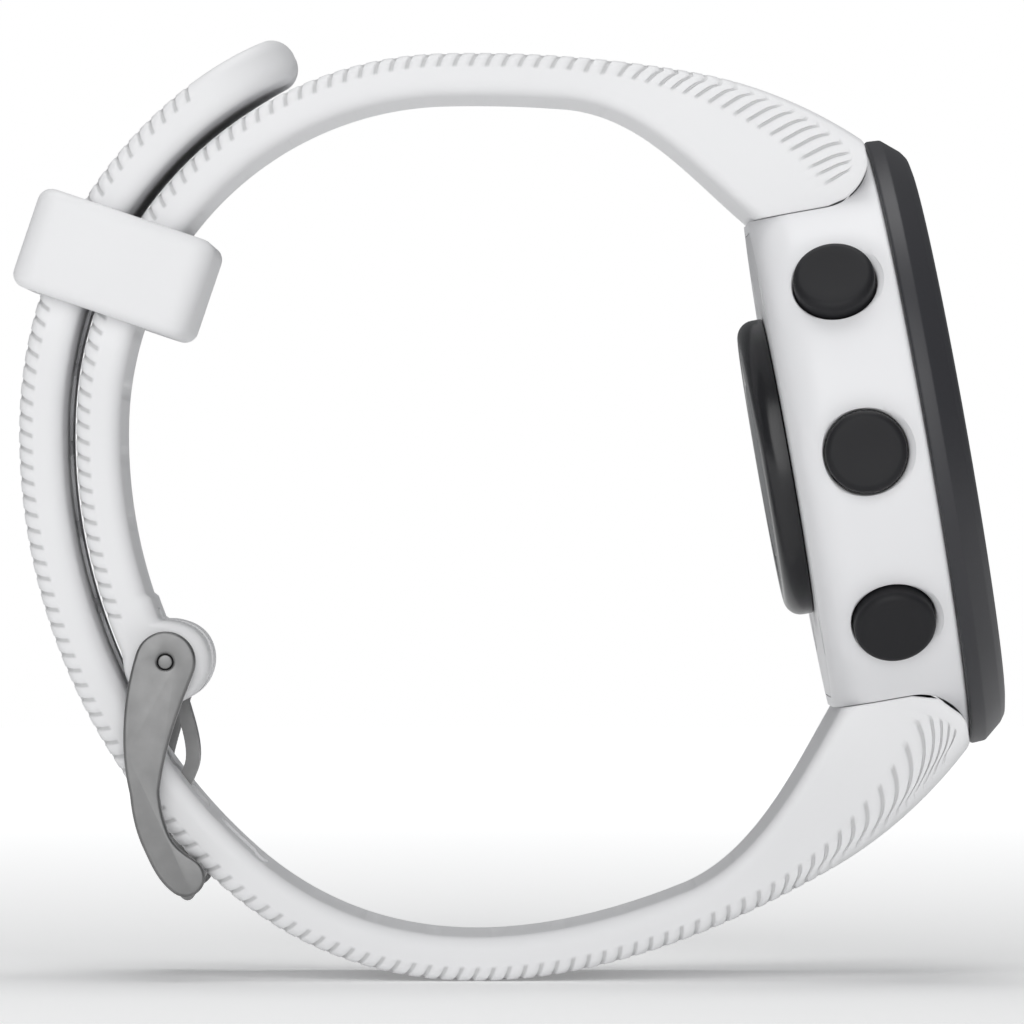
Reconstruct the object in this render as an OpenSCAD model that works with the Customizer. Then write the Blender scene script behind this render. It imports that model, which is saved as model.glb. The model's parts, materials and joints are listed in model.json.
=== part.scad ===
// GPS running watch, fastened into its wrist loop.
//
// Origin: the middle of the sensor pod's flat rear face, which lies on the wrist.
// +Z is up with the watch standing on its band, +X points towards the display side,
// and -Y is the side with three buttons.  The case leans back by case_lean.
//
// Two coordinate systems are used:
//   loop plane   [x, z] points of the side view, in which the straps and the buckle are drawn
//   case frame   x towards twelve o'clock, y towards the three-button side, z out of the display
// A pose is [x, z, heading]: a point of the loop plane and the direction of travel there.

/* [Case] */
// Diameter of the bezel
bezel_d = 39.5; // [36:0.5:48]
// Height of the white case shell, back plane to bezel
case_h = 8.45; // [8:0.05:11]
// Height of the bezel
bezel_h = 2.6; // [2.2:0.1:3.4]
// How far the bezel stands out past the case side
bezel_overhang = 0.35; // [0.1:0.05:0.6]
// Side wall of the case at the buttons
case_wall = 4.2; // [3.8:0.1:4.8]
// Rounding of the case's back edge
back_edge_r = 2.8; // [1.5:0.1:3]
// How far the case leans back from upright
case_lean = 10; // [0:1:20]

/* [Back and sensor] */
// Thickness of the back cover
cover_t = 1.4; // [1.2:0.1:1.8]
// Diameter of the sensor pod
pod_d = 19.3; // [16:0.1:21]
// How far the pod stands out of the back cover
pod_h = 1.8; // [1.2:0.1:2.4]
// Diameter of the clear sensor window
window_d = 11.3; // [8:0.1:13]

/* [Display] */
// Diameter of the lens
lens_d = 33.9; // [31:0.1:35]
// Thickness of the lens
lens_t = 0.95; // [0.7:0.05:1.2]
// Diameter of the display module
display_d = 28.4; // [26:0.1:28.6]

/* [Buttons] */
// Diameter of a button cap
cap_d = 5.2; // [4.6:0.1:6]
// How far a cap stands out of the case side
cap_out = 0.75; // [0.6:0.05:1.6]
// How far a button travels when pressed
press = 0.5; // [0.3:0.05:0.6]
// Diameter of a button's stem
stem_d = 1.6; // [1.3:0.1:1.9]
// Angle between neighbouring buttons round the case
button_step = 34.6; // [28:0.2:38]
// Height of the button axes above the pod's rear face
button_z = 6.3; // [6:0.05:6.5]

/* [Straps] */
// Width of the band
strap_w = 18; // [16:0.5:21.6]
// Thickness of the band away from the case
strap_t = 2.8; // [2.3:0.05:3.4]
// Gap between the two overlapping band ends
lap_gap = 0.85; // [0.6:0.05:1.2]
// Half width of the band where it meets the case
seat_half = 11.3; // [11:0.1:12.5]
// Length of a strap hole along the band
hole_l = 3.8; // [3.4:0.1:4.2]
// Width of a strap hole across the band
hole_w = 4.4; // [4.2:0.1:6]
// Distance between strap holes
hole_pitch = 5.6; // [5.4:0.1:7]
// Number of strap holes
hole_count = 9; // [5:1:10]
// Diameter of the spring bars
spring_bar_d = 1.5; // [1.3:0.1:1.8]

/* [Buckle and keeper] */
// Diameter of the buckle pin
buckle_pin_d = 1.2; // [1:0.05:1.5]
// Thickness of each buckle side plate
plate_t = 1.5; // [1:0.1:2]
// Radius of the buckle's front bar
bar_r = 0.95; // [0.8:0.05:1.2]
// Width of the buckle tongue
tongue_w = 3.4; // [2.6:0.1:3.6]
// Thickness of the buckle tongue
tongue_t = 0.9; // [0.7:0.05:1.1]
// Length of the keeper along the band
keeper_l = 6.6; // [5:0.1:9]
// Thickness of the keeper's walls
keeper_t = 1.45; // [1:0.05:1.8]

/* [Hidden] */

$fn = 64;
fit = 0.05;       // clearance between pieces that are glued or clamped together
run = 0.05;       // radial clearance of a pin or stem that turns or slides
eps = 0.01;

// heights in the case frame, from the pod's rear face
back_z = pod_h;
cover_top = back_z + cover_t;
seal_t = 0.3;
ledge_z = cover_top + seal_t;
case_top = back_z + case_h;
bezel_top = case_top + bezel_h;
chassis_z = 7.15;
chassis_t = 0.35;
board_z = chassis_z + chassis_t;
board_t = 0.6;
chip_t = 0.45;
screen_z = case_top - 1.6;
lens_z = bezel_top - 0.4 - lens_t;
glue_t = 0.25;

// radii in the case frame
case_r = bezel_d / 2 - bezel_overhang;
cavity_r = case_r - case_wall;
screen_r = cavity_r + 0.4;
seat_x = sqrt(pow(case_r, 2) - pow(seat_half, 2));
cavity_x = seat_x - 1.35;
cover_r = case_r - back_edge_r - 0.45;
cover_x = seat_x - 0.65;
lens_r = lens_d / 2;
lens_land = 1.35;     // how far the lens laps over its ledge
land_r = lens_r - lens_land;
display_r = display_d / 2;

// buttons, measured outwards from the case's axis
button_angles = [90 - button_step, 90, 90 + button_step, button_step - 90, -90 - button_step];
cap_face = case_r + cap_out;
cap_h = 1.95;
cap_back = cap_face - cap_h;
bore_floor = cap_back - press - 0.5;
gland_r = stem_d / 2 + 0.65;
gland_h = 0.8;
clip_t = 0.3;
stem_end = cavity_r - fit - clip_t - 0.3;
switch_face = stem_end - press - 0.1;
switch_l = 1.45;
switch_w = 2.6;
switch_h = 2.3;

// where the screws of the back cover stand
screw_x = cavity_x - 3.45;
screw_y = sqrt(pow(cavity_r - 0.9, 2) - pow(screw_x, 2));
boss_r = 1.6;
screw_r = 0.55;

// strap seats on the case and spring bars
seat_round = 3.5;
seat_rise = 3.25;
seat_top = case_top - 0.3;
bar_x = seat_x + 1.83;
bar_z = back_z + 3.4;
horn_r = 1.8;
horn_in = 6.2;
horn_out = 8.4;
tip_r = 0.4;
spring_bar_r = spring_bar_d / 2;

// ---------------------------------------------------------------- the loop's side view

// a pose after travelling the fraction f of a leg [radius, turn] or [length, 0]
function step(p, leg, f = 1) = leg[1] == 0
    ? [p[0] + leg[0] * f * cos(p[2]), p[1] + leg[0] * f * sin(p[2]), p[2]]
    : let (k = sign(leg[1]) * leg[0], h = p[2] + leg[1] * f)
      [p[0] + k * (sin(h) - sin(p[2])), p[1] - k * (cos(h) - cos(p[2])), h];
function leg_poses(p, leg) = let (n = max(1, ceil(abs(leg[1]) / 4)))
    [for (i = [1:n]) step(p, leg, i / n)];
function walk(p, legs, i = 0) = i == len(legs) ? []
    : concat(leg_poses(p, legs[i]), walk(step(p, legs[i]), legs, i + 1));
function finish(p, legs, i = 0) = i == len(legs) ? p : finish(step(p, legs[i]), legs, i + 1);

// a smooth curve from pose p to pose q, with handles a and b, as n + 1 poses
function curve(p, q, a, b, n) = let (
    p1 = [p[0] + a * cos(p[2]), p[1] + a * sin(p[2])],
    q1 = [q[0] - b * cos(q[2]), q[1] - b * sin(q[2])],
    p0 = [p[0], p[1]], q0 = [q[0], q[1]])
    [for (i = [0:n]) let (t = i / n, u = 1 - t,
        c = u * u * u * p0 + 3 * u * u * t * p1 + 3 * u * t * t * q1 + t * t * t * q0,
        d = u * u * (p1 - p0) + 2 * u * t * (q1 - p1) + t * t * (q0 - q1))
        [c[0], c[1], atan2(d[1], d[0])]];

// points d to the left of each pose, and small list helpers
function beside(poses, d) = [for (q = poses) [q[0] - d * sin(q[2]), q[1] + d * cos(q[2])]];
function beside_pose(q, d) = [q[0] - d * sin(q[2]), q[1] + d * cos(q[2]), q[2]];
function reversed(v) = [for (i = [len(v) - 1:-1:0]) v[i]];
function turned(poses) = [for (q = reversed(poses)) [q[0], q[1], q[2] + 180]];
function head(v, n) = [for (i = [0:n - 1]) v[i]];
function polar(c, r, a) = [c[0] + r * cos(a), c[1] + r * sin(a)];

// a point of the case frame's x-z plane in the loop plane
function from_case(x, z) = [z * cos(case_lean) - x * sin(case_lean),
    z * sin(case_lean) + x * cos(case_lean)];
function case_pose(x, z, heading) = concat(from_case(x, z), heading + case_lean);

// outer surface of the upper strap: shoulder, crown, end of the wrist, flat side
shoulder = [28, 24];
crown = [80, 11.5];
bend_r = 24;
bend_turn = 86.5;
side_r = 35;
side_turn = 28.4;
start_x = case_r + 0.3;
start_z = case_top - 0.48;
start_heading = 136;
upper_start = case_pose(start_x, start_z, start_heading);
crown_start = step(upper_start, shoulder);
blend_start = step(crown_start, crown, 0.5);
bend_start = step(crown_start, crown);
side_start = step(bend_start, [bend_r, bend_turn]);
upper_end = step(side_start, [side_r, side_turn]);
bend_centre = beside_pose(bend_start, bend_r);
side_centre = beside_pose(side_start, side_r);

// the lower strap's tail runs outside the upper strap
lap = strap_t + lap_gap;
tail_bend = 62;
tail_side = 50;
tail_start = step(bend_start, [bend_r, bend_turn], (bend_turn - tail_bend) / bend_turn);
tail_path = concat([tail_start], walk(tail_start, [[bend_r, tail_bend], [side_r, tail_side]]));
tail_outer = [for (q = tail_path) beside_pose(q, -lap)];
tail_r = side_r + lap;

// the bottom of the loop, from the tail to the lower shoulder
lower_start = case_pose(-start_x, start_z, -start_heading);
lower_shoulder = concat([lower_start], leg_poses(lower_start, [shoulder[0], -shoulder[1]]));
lower_join = turned(lower_shoulder)[0];
bottom_n = 20;
bottom_blend = 16;
bottom = curve(tail_outer[len(tail_outer) - 1], lower_join, 14.5, 16, bottom_n);

// the inner corner of a strap, at the case's back, and the curve that leaves it
corner_drop = 0.4;
corner_x = seat_x + 0.1;
corner_heading = 130;
upper_corner = case_pose(corner_x, back_z + corner_drop, corner_heading);
lower_corner = case_pose(-corner_x, back_z + corner_drop, 180 - corner_heading);

// the line where a strap meets the case, clearance c, as [x, z] in the case frame
function seat_line(c) = let (r = seat_round - c, cx = seat_x + seat_round,
    cz = seat_top - c - seat_rise, top = asin(min(1, seat_rise / r)))
    concat([[seat_x + c, back_z + corner_drop]],
        [for (i = [0:8]) let (a = top * i / 8) [cx - r * cos(a), cz + r * sin(a)]]);
function seat_in_loop(side) = [for (q = concat(seat_line(fit), [[case_r, seat_top - fit]]))
    from_case(side * q[0], q[1])];

upper_inner = concat([blend_start],
    walk(blend_start, [[crown[0], crown[1] / 2], [bend_r, bend_turn], [side_r, side_turn]]));
upper_outline = concat(
    beside(concat([upper_start], leg_poses(upper_start, shoulder), leg_poses(crown_start, crown),
        walk(bend_start, [[bend_r, bend_turn], [side_r, side_turn]])), 0),
    beside(reversed(upper_inner), strap_t),
    beside(turned(curve(upper_corner, beside_pose(blend_start, strap_t), 5, 5, 10)), 0),
    seat_in_loop(1));

lower_blend = beside_pose(bottom[bottom_blend], strap_t);
tip_centre = beside_pose(tail_outer[0], strap_t / 2);
tip_round = [for (i = [1:8]) polar(tip_centre, strap_t / 2, tip_centre[2] + 90 + 20 * i)];
lower_outline = concat(
    beside(tail_outer, 0), beside(bottom, 0), beside(turned(lower_shoulder), 0),
    reversed(seat_in_loop(-1)),
    beside(turned(curve(lower_blend, lower_corner, 5, 5, 10)), 0),
    beside(reversed(concat(tail_outer, head(bottom, bottom_blend))), strap_t), tip_round);

// buckle: pin, front bar and the middle line of a side plate
boss_round = 2.75;
pin_at = beside_pose(upper_end, boss_round - 0.4);
bar_angle = 225.3;
bar_out = tail_r + bar_r + 0.15;
bar_at = concat(polar(side_centre, bar_out, bar_angle), 325);
plate_line = curve([pin_at[0], pin_at[1], 250], bar_at, 4.85, 4.5, 20);
plate_head_r = 1.93;
plate_neck_r = 0.93;
function plate_half(t) = plate_neck_r + (plate_head_r - plate_neck_r) * (1 - pow(min(1, t / 0.55), 1.5));
plate_in = strap_w / 2 + 0.25;
plate_out = plate_in + plate_t;

// tongue: from the pin, along the wrist side, through a hole and over the bar
worn_angle = 219.4;
cross = concat(polar(side_centre, tail_r - strap_t / 2, worn_angle), worn_angle + 28);
cross_in = step(cross, [-strap_t / 2 - 0.9, 0]);
cross_out = step(cross, [strap_t / 2 + 0.9, 0]);
bar_seat = 0.55;
tongue_over = bar_out + bar_r - 0.35 + tongue_t / 2;
tongue_tip = concat(polar(side_centre, tongue_over, bar_angle + 1.2), bar_angle + 91);
tongue_line = concat(curve([pin_at[0], pin_at[1], 283], cross_in, 3, 1.6, 10),
    curve(cross_out, tongue_tip, 1.4, 1.6, 10));
tongue_slot_w = tongue_w + 0.8;

// keeper: its middle, and how it sits across the two bands
keeper_turn = 62.5;
keeper_tilt = 7.3;
keeper_at = step(bend_start, [bend_r, keeper_turn]);
keeper_high = 2 * strap_t + lap_gap + 2.5 + 2 * keeper_t;
keeper_half = strap_w / 2 + 0.3 + keeper_t;
keeper_round = 0.9;

// the holes of the lower strap, as distances along the tail from the worn hole
side_arc = tail_r * PI / 180;
hole_shift = 0.45;
worn_turn = worn_angle - 90 + 180 - side_start[2];
function tail_pose(s) = let (worn_s = worn_turn * side_arc - hole_shift, at = worn_s + s)
    at >= 0 ? beside_pose(step(side_start, [side_r, at / side_arc]), -lap)
    : beside_pose(step(turned([side_start])[0], [bend_r, at / side_arc * tail_r / (bend_r + lap)]), lap);
first_hole = 1;

// ---------------------------------------------------------------- placing and shaping

module in_case() rotate([0, 90 - case_lean, 0]) rotate([0, 0, 180]) children();
module both_ends() { children(); mirror([1, 0, 0]) children(); }
module loop_slab(points, w) rotate([90, 0, 0]) linear_extrude(w, center = true) polygon(points);
module at_pose(p) translate([p[0], 0, p[1]]) rotate([0, -p[2], 0]) children();
module across(r, w) rotate([90, 0, 0]) cylinder(r = r, h = w, center = true);
module at_button(a) in_case() rotate([0, 0, a]) translate([0, 0, button_z]) rotate([0, 90, 0])
    children();
module button_in_case(a) rotate([0, 0, a]) translate([0, 0, button_z]) rotate([0, 90, 0]) children();
module disc(r, z0, z1) translate([0, 0, z0]) cylinder(r = r, h = z1 - z0);
module ring(r0, r1, z0, z1) difference() {
    disc(r1, z0, z1);
    disc(r0, z0 - 1, z1 + 1);
}
// a disc with flats towards the straps
module flatted(r, x, z0, z1) intersection() {
    disc(r, z0, z1);
    translate([-x, -r - 1, z0]) cube([2 * x, 2 * r + 2, z1 - z0]);
}
module box(x0, x1, y0, y1, z0, z1) translate([x0, y0, z0]) cube([x1 - x0, y1 - y0, z1 - z0]);
module rounded_square(w, h, r) {
    square([w - 2 * r, h], center = true);
    square([w, h - 2 * r], center = true);
    for (i = [-1, 1], j = [-1, 1]) translate([i * (w / 2 - r), j * (h / 2 - r)]) circle(r);
}

// ---------------------------------------------------------------- case

function back_edge() = [for (i = [0:6]) let (a = 15 * i)
    [case_r - back_edge_r * (1 - sin(a)), back_z + back_edge_r * (1 - cos(a))]];

module case_outside() rotate_extrude($fn = 96) polygon(concat([[0, back_z]], back_edge(),
    [[case_r, case_top - 0.25], [case_r - 0.25, case_top], [0, case_top]]));

module strap_seat() {
    line = seat_line(0);
    rotate([90, 0, 0]) linear_extrude(2 * case_r + 2, center = true)
        polygon(concat([[seat_x, 0]], line, [[case_r + 2, seat_top], [case_r + 2, 0]]));
}

module horn() for (s = [-1, 1]) translate([0, s * (horn_in + horn_out) / 2, 0]) {
    translate([bar_x, 0, bar_z]) across(horn_r, horn_out - horn_in);
    translate([(seat_x - 0.6 + bar_x) / 2, 0, bar_z])
        cube([bar_x - seat_x + 0.6, horn_out - horn_in, 2 * horn_r], center = true);
}

module screw_places() for (i = [-1, 1], j = [-1, 1]) translate([i * screw_x, j * screw_y, 0])
    children();

module button_cuts() for (a = button_angles) button_in_case(a) {
    disc(cap_d / 2 + 0.1, bore_floor, case_r + 3);
    disc(stem_d / 2 + run, cavity_r - 1, case_r);
    disc(gland_r, bore_floor - gland_h, case_r);
    translate([0, 0, case_r - 0.3 + 20]) sphere(20);
}

module case_body() color("whitesmoke") in_case() difference() {
    union() {
        difference() {
            case_outside();
            both_ends() strap_seat();
            flatted(cover_r + fit, cover_x + fit, back_z - 1, ledge_z);
            flatted(cavity_r, cavity_x, ledge_z - eps, screen_z);
            disc(screen_r, screen_z - eps, case_top + 1);
            ring(screen_r + 0.55, screen_r + 1.35, case_top - 0.55, case_top + 1);
        }
        intersection() {
            screw_places() disc(boss_r, ledge_z, chassis_z - fit);
            disc(cavity_r + 1, ledge_z, chassis_z);
        }
        both_ends() horn();
    }
    screw_places() disc(screw_r + fit, ledge_z - 1, ledge_z + 3);
    both_ends() translate([bar_x, 0, bar_z]) across(tip_r + run, 2 * horn_out + 1);
    button_cuts();
}

module bezel() color("dimgray") in_case() rotate_extrude($fn = 96) polygon([
    [land_r, case_top], [bezel_d / 2, case_top], [bezel_d / 2 - 0.05, case_top + 1],
    [bezel_d / 2 - 1, bezel_top - 0.46], [bezel_d / 2 - 1.48, bezel_top - 0.12],
    [bezel_d / 2 - 2.1, bezel_top], [lens_r + 0.35, bezel_top], [lens_r + fit, bezel_top - 0.3],
    [lens_r + fit, lens_z - glue_t], [land_r, lens_z - glue_t]]);

module lens() color("black") in_case() difference() {
    disc(lens_r, lens_z, lens_z + lens_t);
    rotate_extrude() polygon([[lens_r - 0.2, lens_z + lens_t + eps],
        [lens_r + 0.1, lens_z + lens_t + eps], [lens_r + 0.1, lens_z + lens_t - 0.3]]);
}
module lens_seal() color("dimgray") in_case()
    ring(land_r + 0.1, lens_r - 0.1, lens_z - glue_t, lens_z);
module display_module() color("darkslategray") in_case()
    disc(display_r, screen_z + 0.9, lens_z - 0.3);
module light_guide() color("white") in_case()
    disc(display_r, screen_z + 0.45, screen_z + 0.85);
module display_frame() color("gray") in_case() {
    disc(screen_r - 0.1, screen_z, screen_z + 0.4);
    ring(display_r + 0.1, land_r - 0.4, screen_z + 0.4 - eps, lens_z - glue_t - 0.2);
}
module antenna_ring() color("goldenrod") in_case()
    ring(screen_r + 0.6, screen_r + 1.3, case_top - 0.5, case_top - fit);

// ---------------------------------------------------------------- inside

module main_board() color("darkgreen") in_case()
    flatted(cavity_r - 1, cavity_x - 0.6, board_z, board_z + board_t);
module board_chips() color("black") in_case() {
    box(-8.5, -4.5, -6, -1, board_z + board_t, board_z + board_t + chip_t);
    box(5.5, 9, -7.5, -4.5, board_z + board_t, board_z + board_t + chip_t);
    box(6, 9.5, 2.5, 6.5, board_z + board_t, board_z + board_t + chip_t);
    box(-9, -5.5, 3.5, 7.5, board_z + board_t, board_z + board_t + chip_t);
}
module shield_can() color("silver") in_case() difference() {
    box(-3.5, 4.5, -5, 5, board_z + board_t, board_z + board_t + chip_t);
    box(-3.3, 4.3, -4.8, 4.8, board_z + board_t - 1, board_z + board_t + chip_t - 0.15);
}
module mid_frame() color("gray") in_case() difference() {
    flatted(cavity_r - 0.6, cavity_x - 0.4, chassis_z, chassis_z + chassis_t);
    for (a = button_angles) rotate([0, 0, a])
        box(switch_face - switch_l - 0.2, case_r, -switch_w / 2 - 0.3, switch_w / 2 + 0.3, 0, 20);
    box(-2.3, 2.3, -9.6, -8.8, 0, 20);
}
module battery() color("silver") in_case() box(-9, 9, -8.5, 6.5, ledge_z + 0.2, chassis_z - 0.15);
module battery_pad() color("khaki") in_case() box(-7, 7, -5.5, 5, cover_top + 0.1, ledge_z + 0.15);
module vibration_motor() color("silver") in_case() translate([-5, 8, 4.95]) rotate([0, 90, 0])
    cylinder(r = 1.4, h = 7.6, center = true);
module buzzer() color("gold") in_case() box(1.5, 8, 7.2, 10.4, cover_top + 0.1, 5);
module flex_cable() color("orange") in_case() rotate([90, 0, 90]) linear_extrude(4, center = true)
    polygon([[-5, cover_top - 0.35], [-5.9, cover_top - 0.35], [-5.9, cover_top + fit],
        [-9.22, cover_top + fit], [-9.22, board_z - fit], [-9.1, board_z - fit],
        [-9.1, cover_top + fit + 0.12], [-5.78, cover_top + fit + 0.12],
        [-5.78, cover_top - 0.23], [-5, cover_top - 0.23]]);
module button_switches() color("lightgray") for (a = button_angles) in_case() rotate([0, 0, a])
    box(switch_face - switch_l, switch_face, -switch_w / 2, switch_w / 2, board_z - switch_h, board_z);

// ---------------------------------------------------------------- back

neck_r = pod_d / 2 - 1.75;
port_y = -pod_d / 2 - 2.95;
port_w = 7;
port_h = 3.4;
contact_pitch = 1.5;

module back_cover() color("gainsboro") in_case() difference() {
    flatted(cover_r, cover_x, back_z, cover_top);
    disc(neck_r + fit, back_z - 1, cover_top + 1);
    translate([0, port_y, back_z]) cube([port_w, port_h, 4], center = true);
    screw_places() {
        disc(screw_r + 0.1, back_z - 1, cover_top + 1);
        disc(1.2, back_z - 1, back_z + 0.7);
    }
}
module back_seal() color("dimgray") in_case() difference() {
    flatted(cover_r, cover_x, cover_top, ledge_z);
    flatted(cavity_r + 0.15, cavity_x + 0.1, cover_top - 1, ledge_z + 1);
}
module back_screws() color("silver") in_case() screw_places() difference() {
    union() {
        disc(1.1, back_z + 0.1, back_z + 0.7);
        disc(screw_r, back_z + 0.6, ledge_z + 2.8);
    }
    translate([0, 0, back_z]) cylinder(r = 0.5, h = 0.5, $fn = 6);
}
module sensor_pod() color("black") in_case() rotate_extrude($fn = 96) polygon(concat(
    [[window_d / 2 + fit, 0]],
    [for (i = [0:5]) let (a = 18 * i) [pod_d / 2 - 1.1 * (1 - sin(a)), 1.1 * (1 - cos(a))]],
    [[pod_d / 2, back_z - fit], [neck_r, back_z - fit], [neck_r, cover_top - 0.2],
        [neck_r - 1, cover_top - 0.2], [neck_r - 1, 1.1], [window_d / 2 - 0.45, 1.1],
        [window_d / 2 - 0.45, 0.6], [window_d / 2 + fit, 0.6]]));
module sensor_window() color("darkslategray") in_case() disc(window_d / 2, 0, 0.6 - fit);
module sensor_board() color("darkgreen") in_case() disc(neck_r - 1.3, 2.25, 2.75);
module sensor_leds() color("lime") in_case() for (a = [90, 210, 330]) rotate([0, 0, a])
    translate([3.4, 0, 1.85]) cube([1.4, 1.4, 0.8], center = true);
module photodiode() color("darkblue") in_case() translate([0, 0, 1.9])
    cube([2.4, 2.4, 0.7], center = true);
module charging_port() color("black") in_case() difference() {
    translate([0, port_y, back_z + 0.65]) cube([port_w - 0.1, port_h - 0.1, 1.3], center = true);
    translate([0, port_y, back_z]) cube([port_w - 1, port_h - 1, 0.8], center = true);
    for (i = [-1.5:1:1.5]) translate([i * contact_pitch, port_y, 0]) disc(0.5, back_z - 1, back_z + 3);
}
module charging_contacts() color("gold") in_case() for (i = [-1.5:1:1.5])
    translate([i * contact_pitch, port_y, 0]) disc(0.48, back_z + 0.15, back_z + 1.35);

// ---------------------------------------------------------------- buttons

spring_wire = 0.1;
spring_coil_r = (cap_d / 2 + gland_r) / 2 - 0.1;
spring_turns = 2;
spring_sides = 6;
spring_steps = 40;

function spring_ring(i, z0, z1) = let (a = 360 * spring_turns * i / spring_steps,
    z = z0 + spring_wire + (z1 - z0 - 2 * spring_wire) * i / spring_steps)
    [for (j = [0:spring_sides - 1]) let (b = 360 * j / spring_sides,
        r = spring_coil_r + spring_wire * cos(b))
        [r * cos(a), r * sin(a), z + spring_wire * sin(b)]];

module coil(z0, z1) polyhedron(
    points = [for (i = [0:spring_steps]) each spring_ring(i, z0, z1)],
    faces = concat(
        [[for (j = [0:spring_sides - 1]) j]],
        [for (i = [0:spring_steps - 1], j = [0:spring_sides - 1]) let (
            a = i * spring_sides, b = a + spring_sides, k = (j + 1) % spring_sides)
            [a + j, b + j, b + k, a + k]],
        [[for (j = [spring_sides - 1:-1:0]) spring_steps * spring_sides + j]]));

module button_cap(a) color("dimgray") at_button(a) difference() {
    rotate_extrude() polygon(concat([[0, stem_end], [stem_d / 2, stem_end], [stem_d / 2, cap_back],
        [cap_d / 2, cap_back]],
        [for (i = [0:3]) let (b = 30 * i) [cap_d / 2 - 0.45 * (1 - cos(b)), cap_face - 0.45 * (1 - sin(b))]],
        [[0, cap_face]]));
    ring(stem_d / 2 - 0.25, stem_d, cavity_r - fit - clip_t - 0.03, cavity_r - fit + 0.03);
}
module button_seal(a) color("black") at_button(a)
    translate([0, 0, bore_floor - gland_h / 2]) rotate_extrude() translate([(stem_d / 2 + gland_r) / 2, 0])
        circle((gland_r - stem_d / 2) / 2 - 0.03, $fn = 24);
module button_clip(a) color("silver") at_button(a) difference() {
    ring(stem_d / 2 - 0.22, stem_d / 2 + 0.5, cavity_r - fit - clip_t, cavity_r - fit);
    translate([-0.45, 0, 0]) cube([0.9, stem_d, 2 * case_r]);
}
module button_spring(a) color("silver") at_button(a) coil(bore_floor, cap_back);

// ---------------------------------------------------------------- straps

// what a strap leaves free for the case's horns and the spring bar, in the case frame
module spring_bar_room() {
    for (s = [-1, 1]) translate([0, s * (horn_in + horn_out) / 2, 0]) {
        translate([bar_x, 0, bar_z]) across(horn_r + 0.2, horn_out - horn_in + 0.4);
        translate([bar_x - 3, 0, bar_z])
            cube([6, horn_out - horn_in + 0.4, 2 * horn_r + 0.4], center = true);
    }
    translate([bar_x, 0, bar_z]) across(spring_bar_r + fit, 2 * horn_in);
}

// plan shape of a strap's shoulder, in the case frame
module shoulder_plan() linear_extrude(60, center = true) polygon([
    [seat_x - 1, seat_half - 0.05], [seat_x + 1.5, seat_half - 0.1], [seat_x + 4, strap_w / 2 + 1.4],
    [seat_x + 8, strap_w / 2 + 0.3], [seat_x + 11.5, strap_w / 2],
    [seat_x + 11.5, -strap_w / 2], [seat_x + 8, -strap_w / 2 - 0.3],
    [seat_x + 4, -strap_w / 2 - 1.4], [seat_x + 1.5, 0.1 - seat_half], [seat_x - 1, 0.05 - seat_half]]);

module upper_strap() color("white") difference() {
    union() {
        loop_slab(upper_outline, strap_w);
        intersection() {
            loop_slab(upper_outline, 2 * seat_half);
            in_case() shoulder_plan();
            translate([-20, -30, 0]) cube([60, 60, 60]);
        }
        translate([pin_at[0], 0, pin_at[1]]) across(boss_round, strap_w);
    }
    in_case() spring_bar_room();
    translate([pin_at[0], 0, pin_at[1]]) {
        across(buckle_pin_d / 2 + run, strap_w + 1);
        across(boss_round + 0.7, tongue_slot_w);
    }
}

module strap_hole() {
    translate([0, 0, strap_t / 2]) cube([hole_l - hole_w / 2, hole_w, strap_t + 2], center = true);
    for (s = [-1, 1], j = [-1, 1])
        translate([s * (hole_l / 2 - 0.8), j * (hole_w / 2 - 0.8), -1]) cylinder(r = 0.8, h = strap_t + 2);
    translate([0, 0, strap_t / 2]) cube([hole_l, hole_w - 1.6, strap_t + 2], center = true);
    translate([0, 0, strap_t / 2]) cube([hole_l - 1.6, hole_w, strap_t + 2], center = true);
}

module lower_strap() color("white") difference() {
    union() {
        loop_slab(lower_outline, strap_w);
        intersection() {
            loop_slab(lower_outline, 2 * seat_half);
            in_case() mirror([1, 0, 0]) shoulder_plan();
            translate([-20, -30, -60]) cube([60, 60, 60]);
        }
    }
    in_case() mirror([1, 0, 0]) spring_bar_room();
    for (i = [0:hole_count - 1]) at_pose(tail_pose((first_hole - i) * hole_pitch)) strap_hole();
}

module spring_bar() translate([bar_x, 0, bar_z]) across(spring_bar_r, 2 * horn_in - 0.6);
module upper_spring_bar() color("silver") in_case() spring_bar();
module lower_spring_bar() color("silver") in_case() mirror([1, 0, 0]) spring_bar();
module spring_bar_tips() color("silver") in_case() both_ends() for (s = [-1, 1])
    translate([bar_x, s * (horn_in - 0.3 + horn_out - 0.8) / 2, bar_z])
        across(tip_r, horn_out - horn_in - 0.5);

// ---------------------------------------------------------------- keeper and buckle

module keeper_loop() color("white") at_pose([keeper_at[0], keeper_at[1], keeper_at[2] + keeper_tilt])
    difference() {
        intersection() {
            rotate([0, 90, 0]) linear_extrude(keeper_l, center = true)
                rounded_square(keeper_high, 2 * keeper_half, 1.6);
            rotate([90, 0, 0]) linear_extrude(2 * keeper_half, center = true)
                rounded_square(keeper_l, keeper_high, keeper_round);
        }
        rotate([0, 90, 0]) linear_extrude(keeper_l + 2, center = true)
            rounded_square(keeper_high - 2 * keeper_t, 2 * (keeper_half - keeper_t), 0.8);
    }

function plate_side(s) = [for (i = [0:len(plate_line) - 1]) let (q = plate_line[i],
    d = s * plate_half(i / (len(plate_line) - 1))) [q[0] - d * sin(q[2]), q[1] + d * cos(q[2])]];

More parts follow.
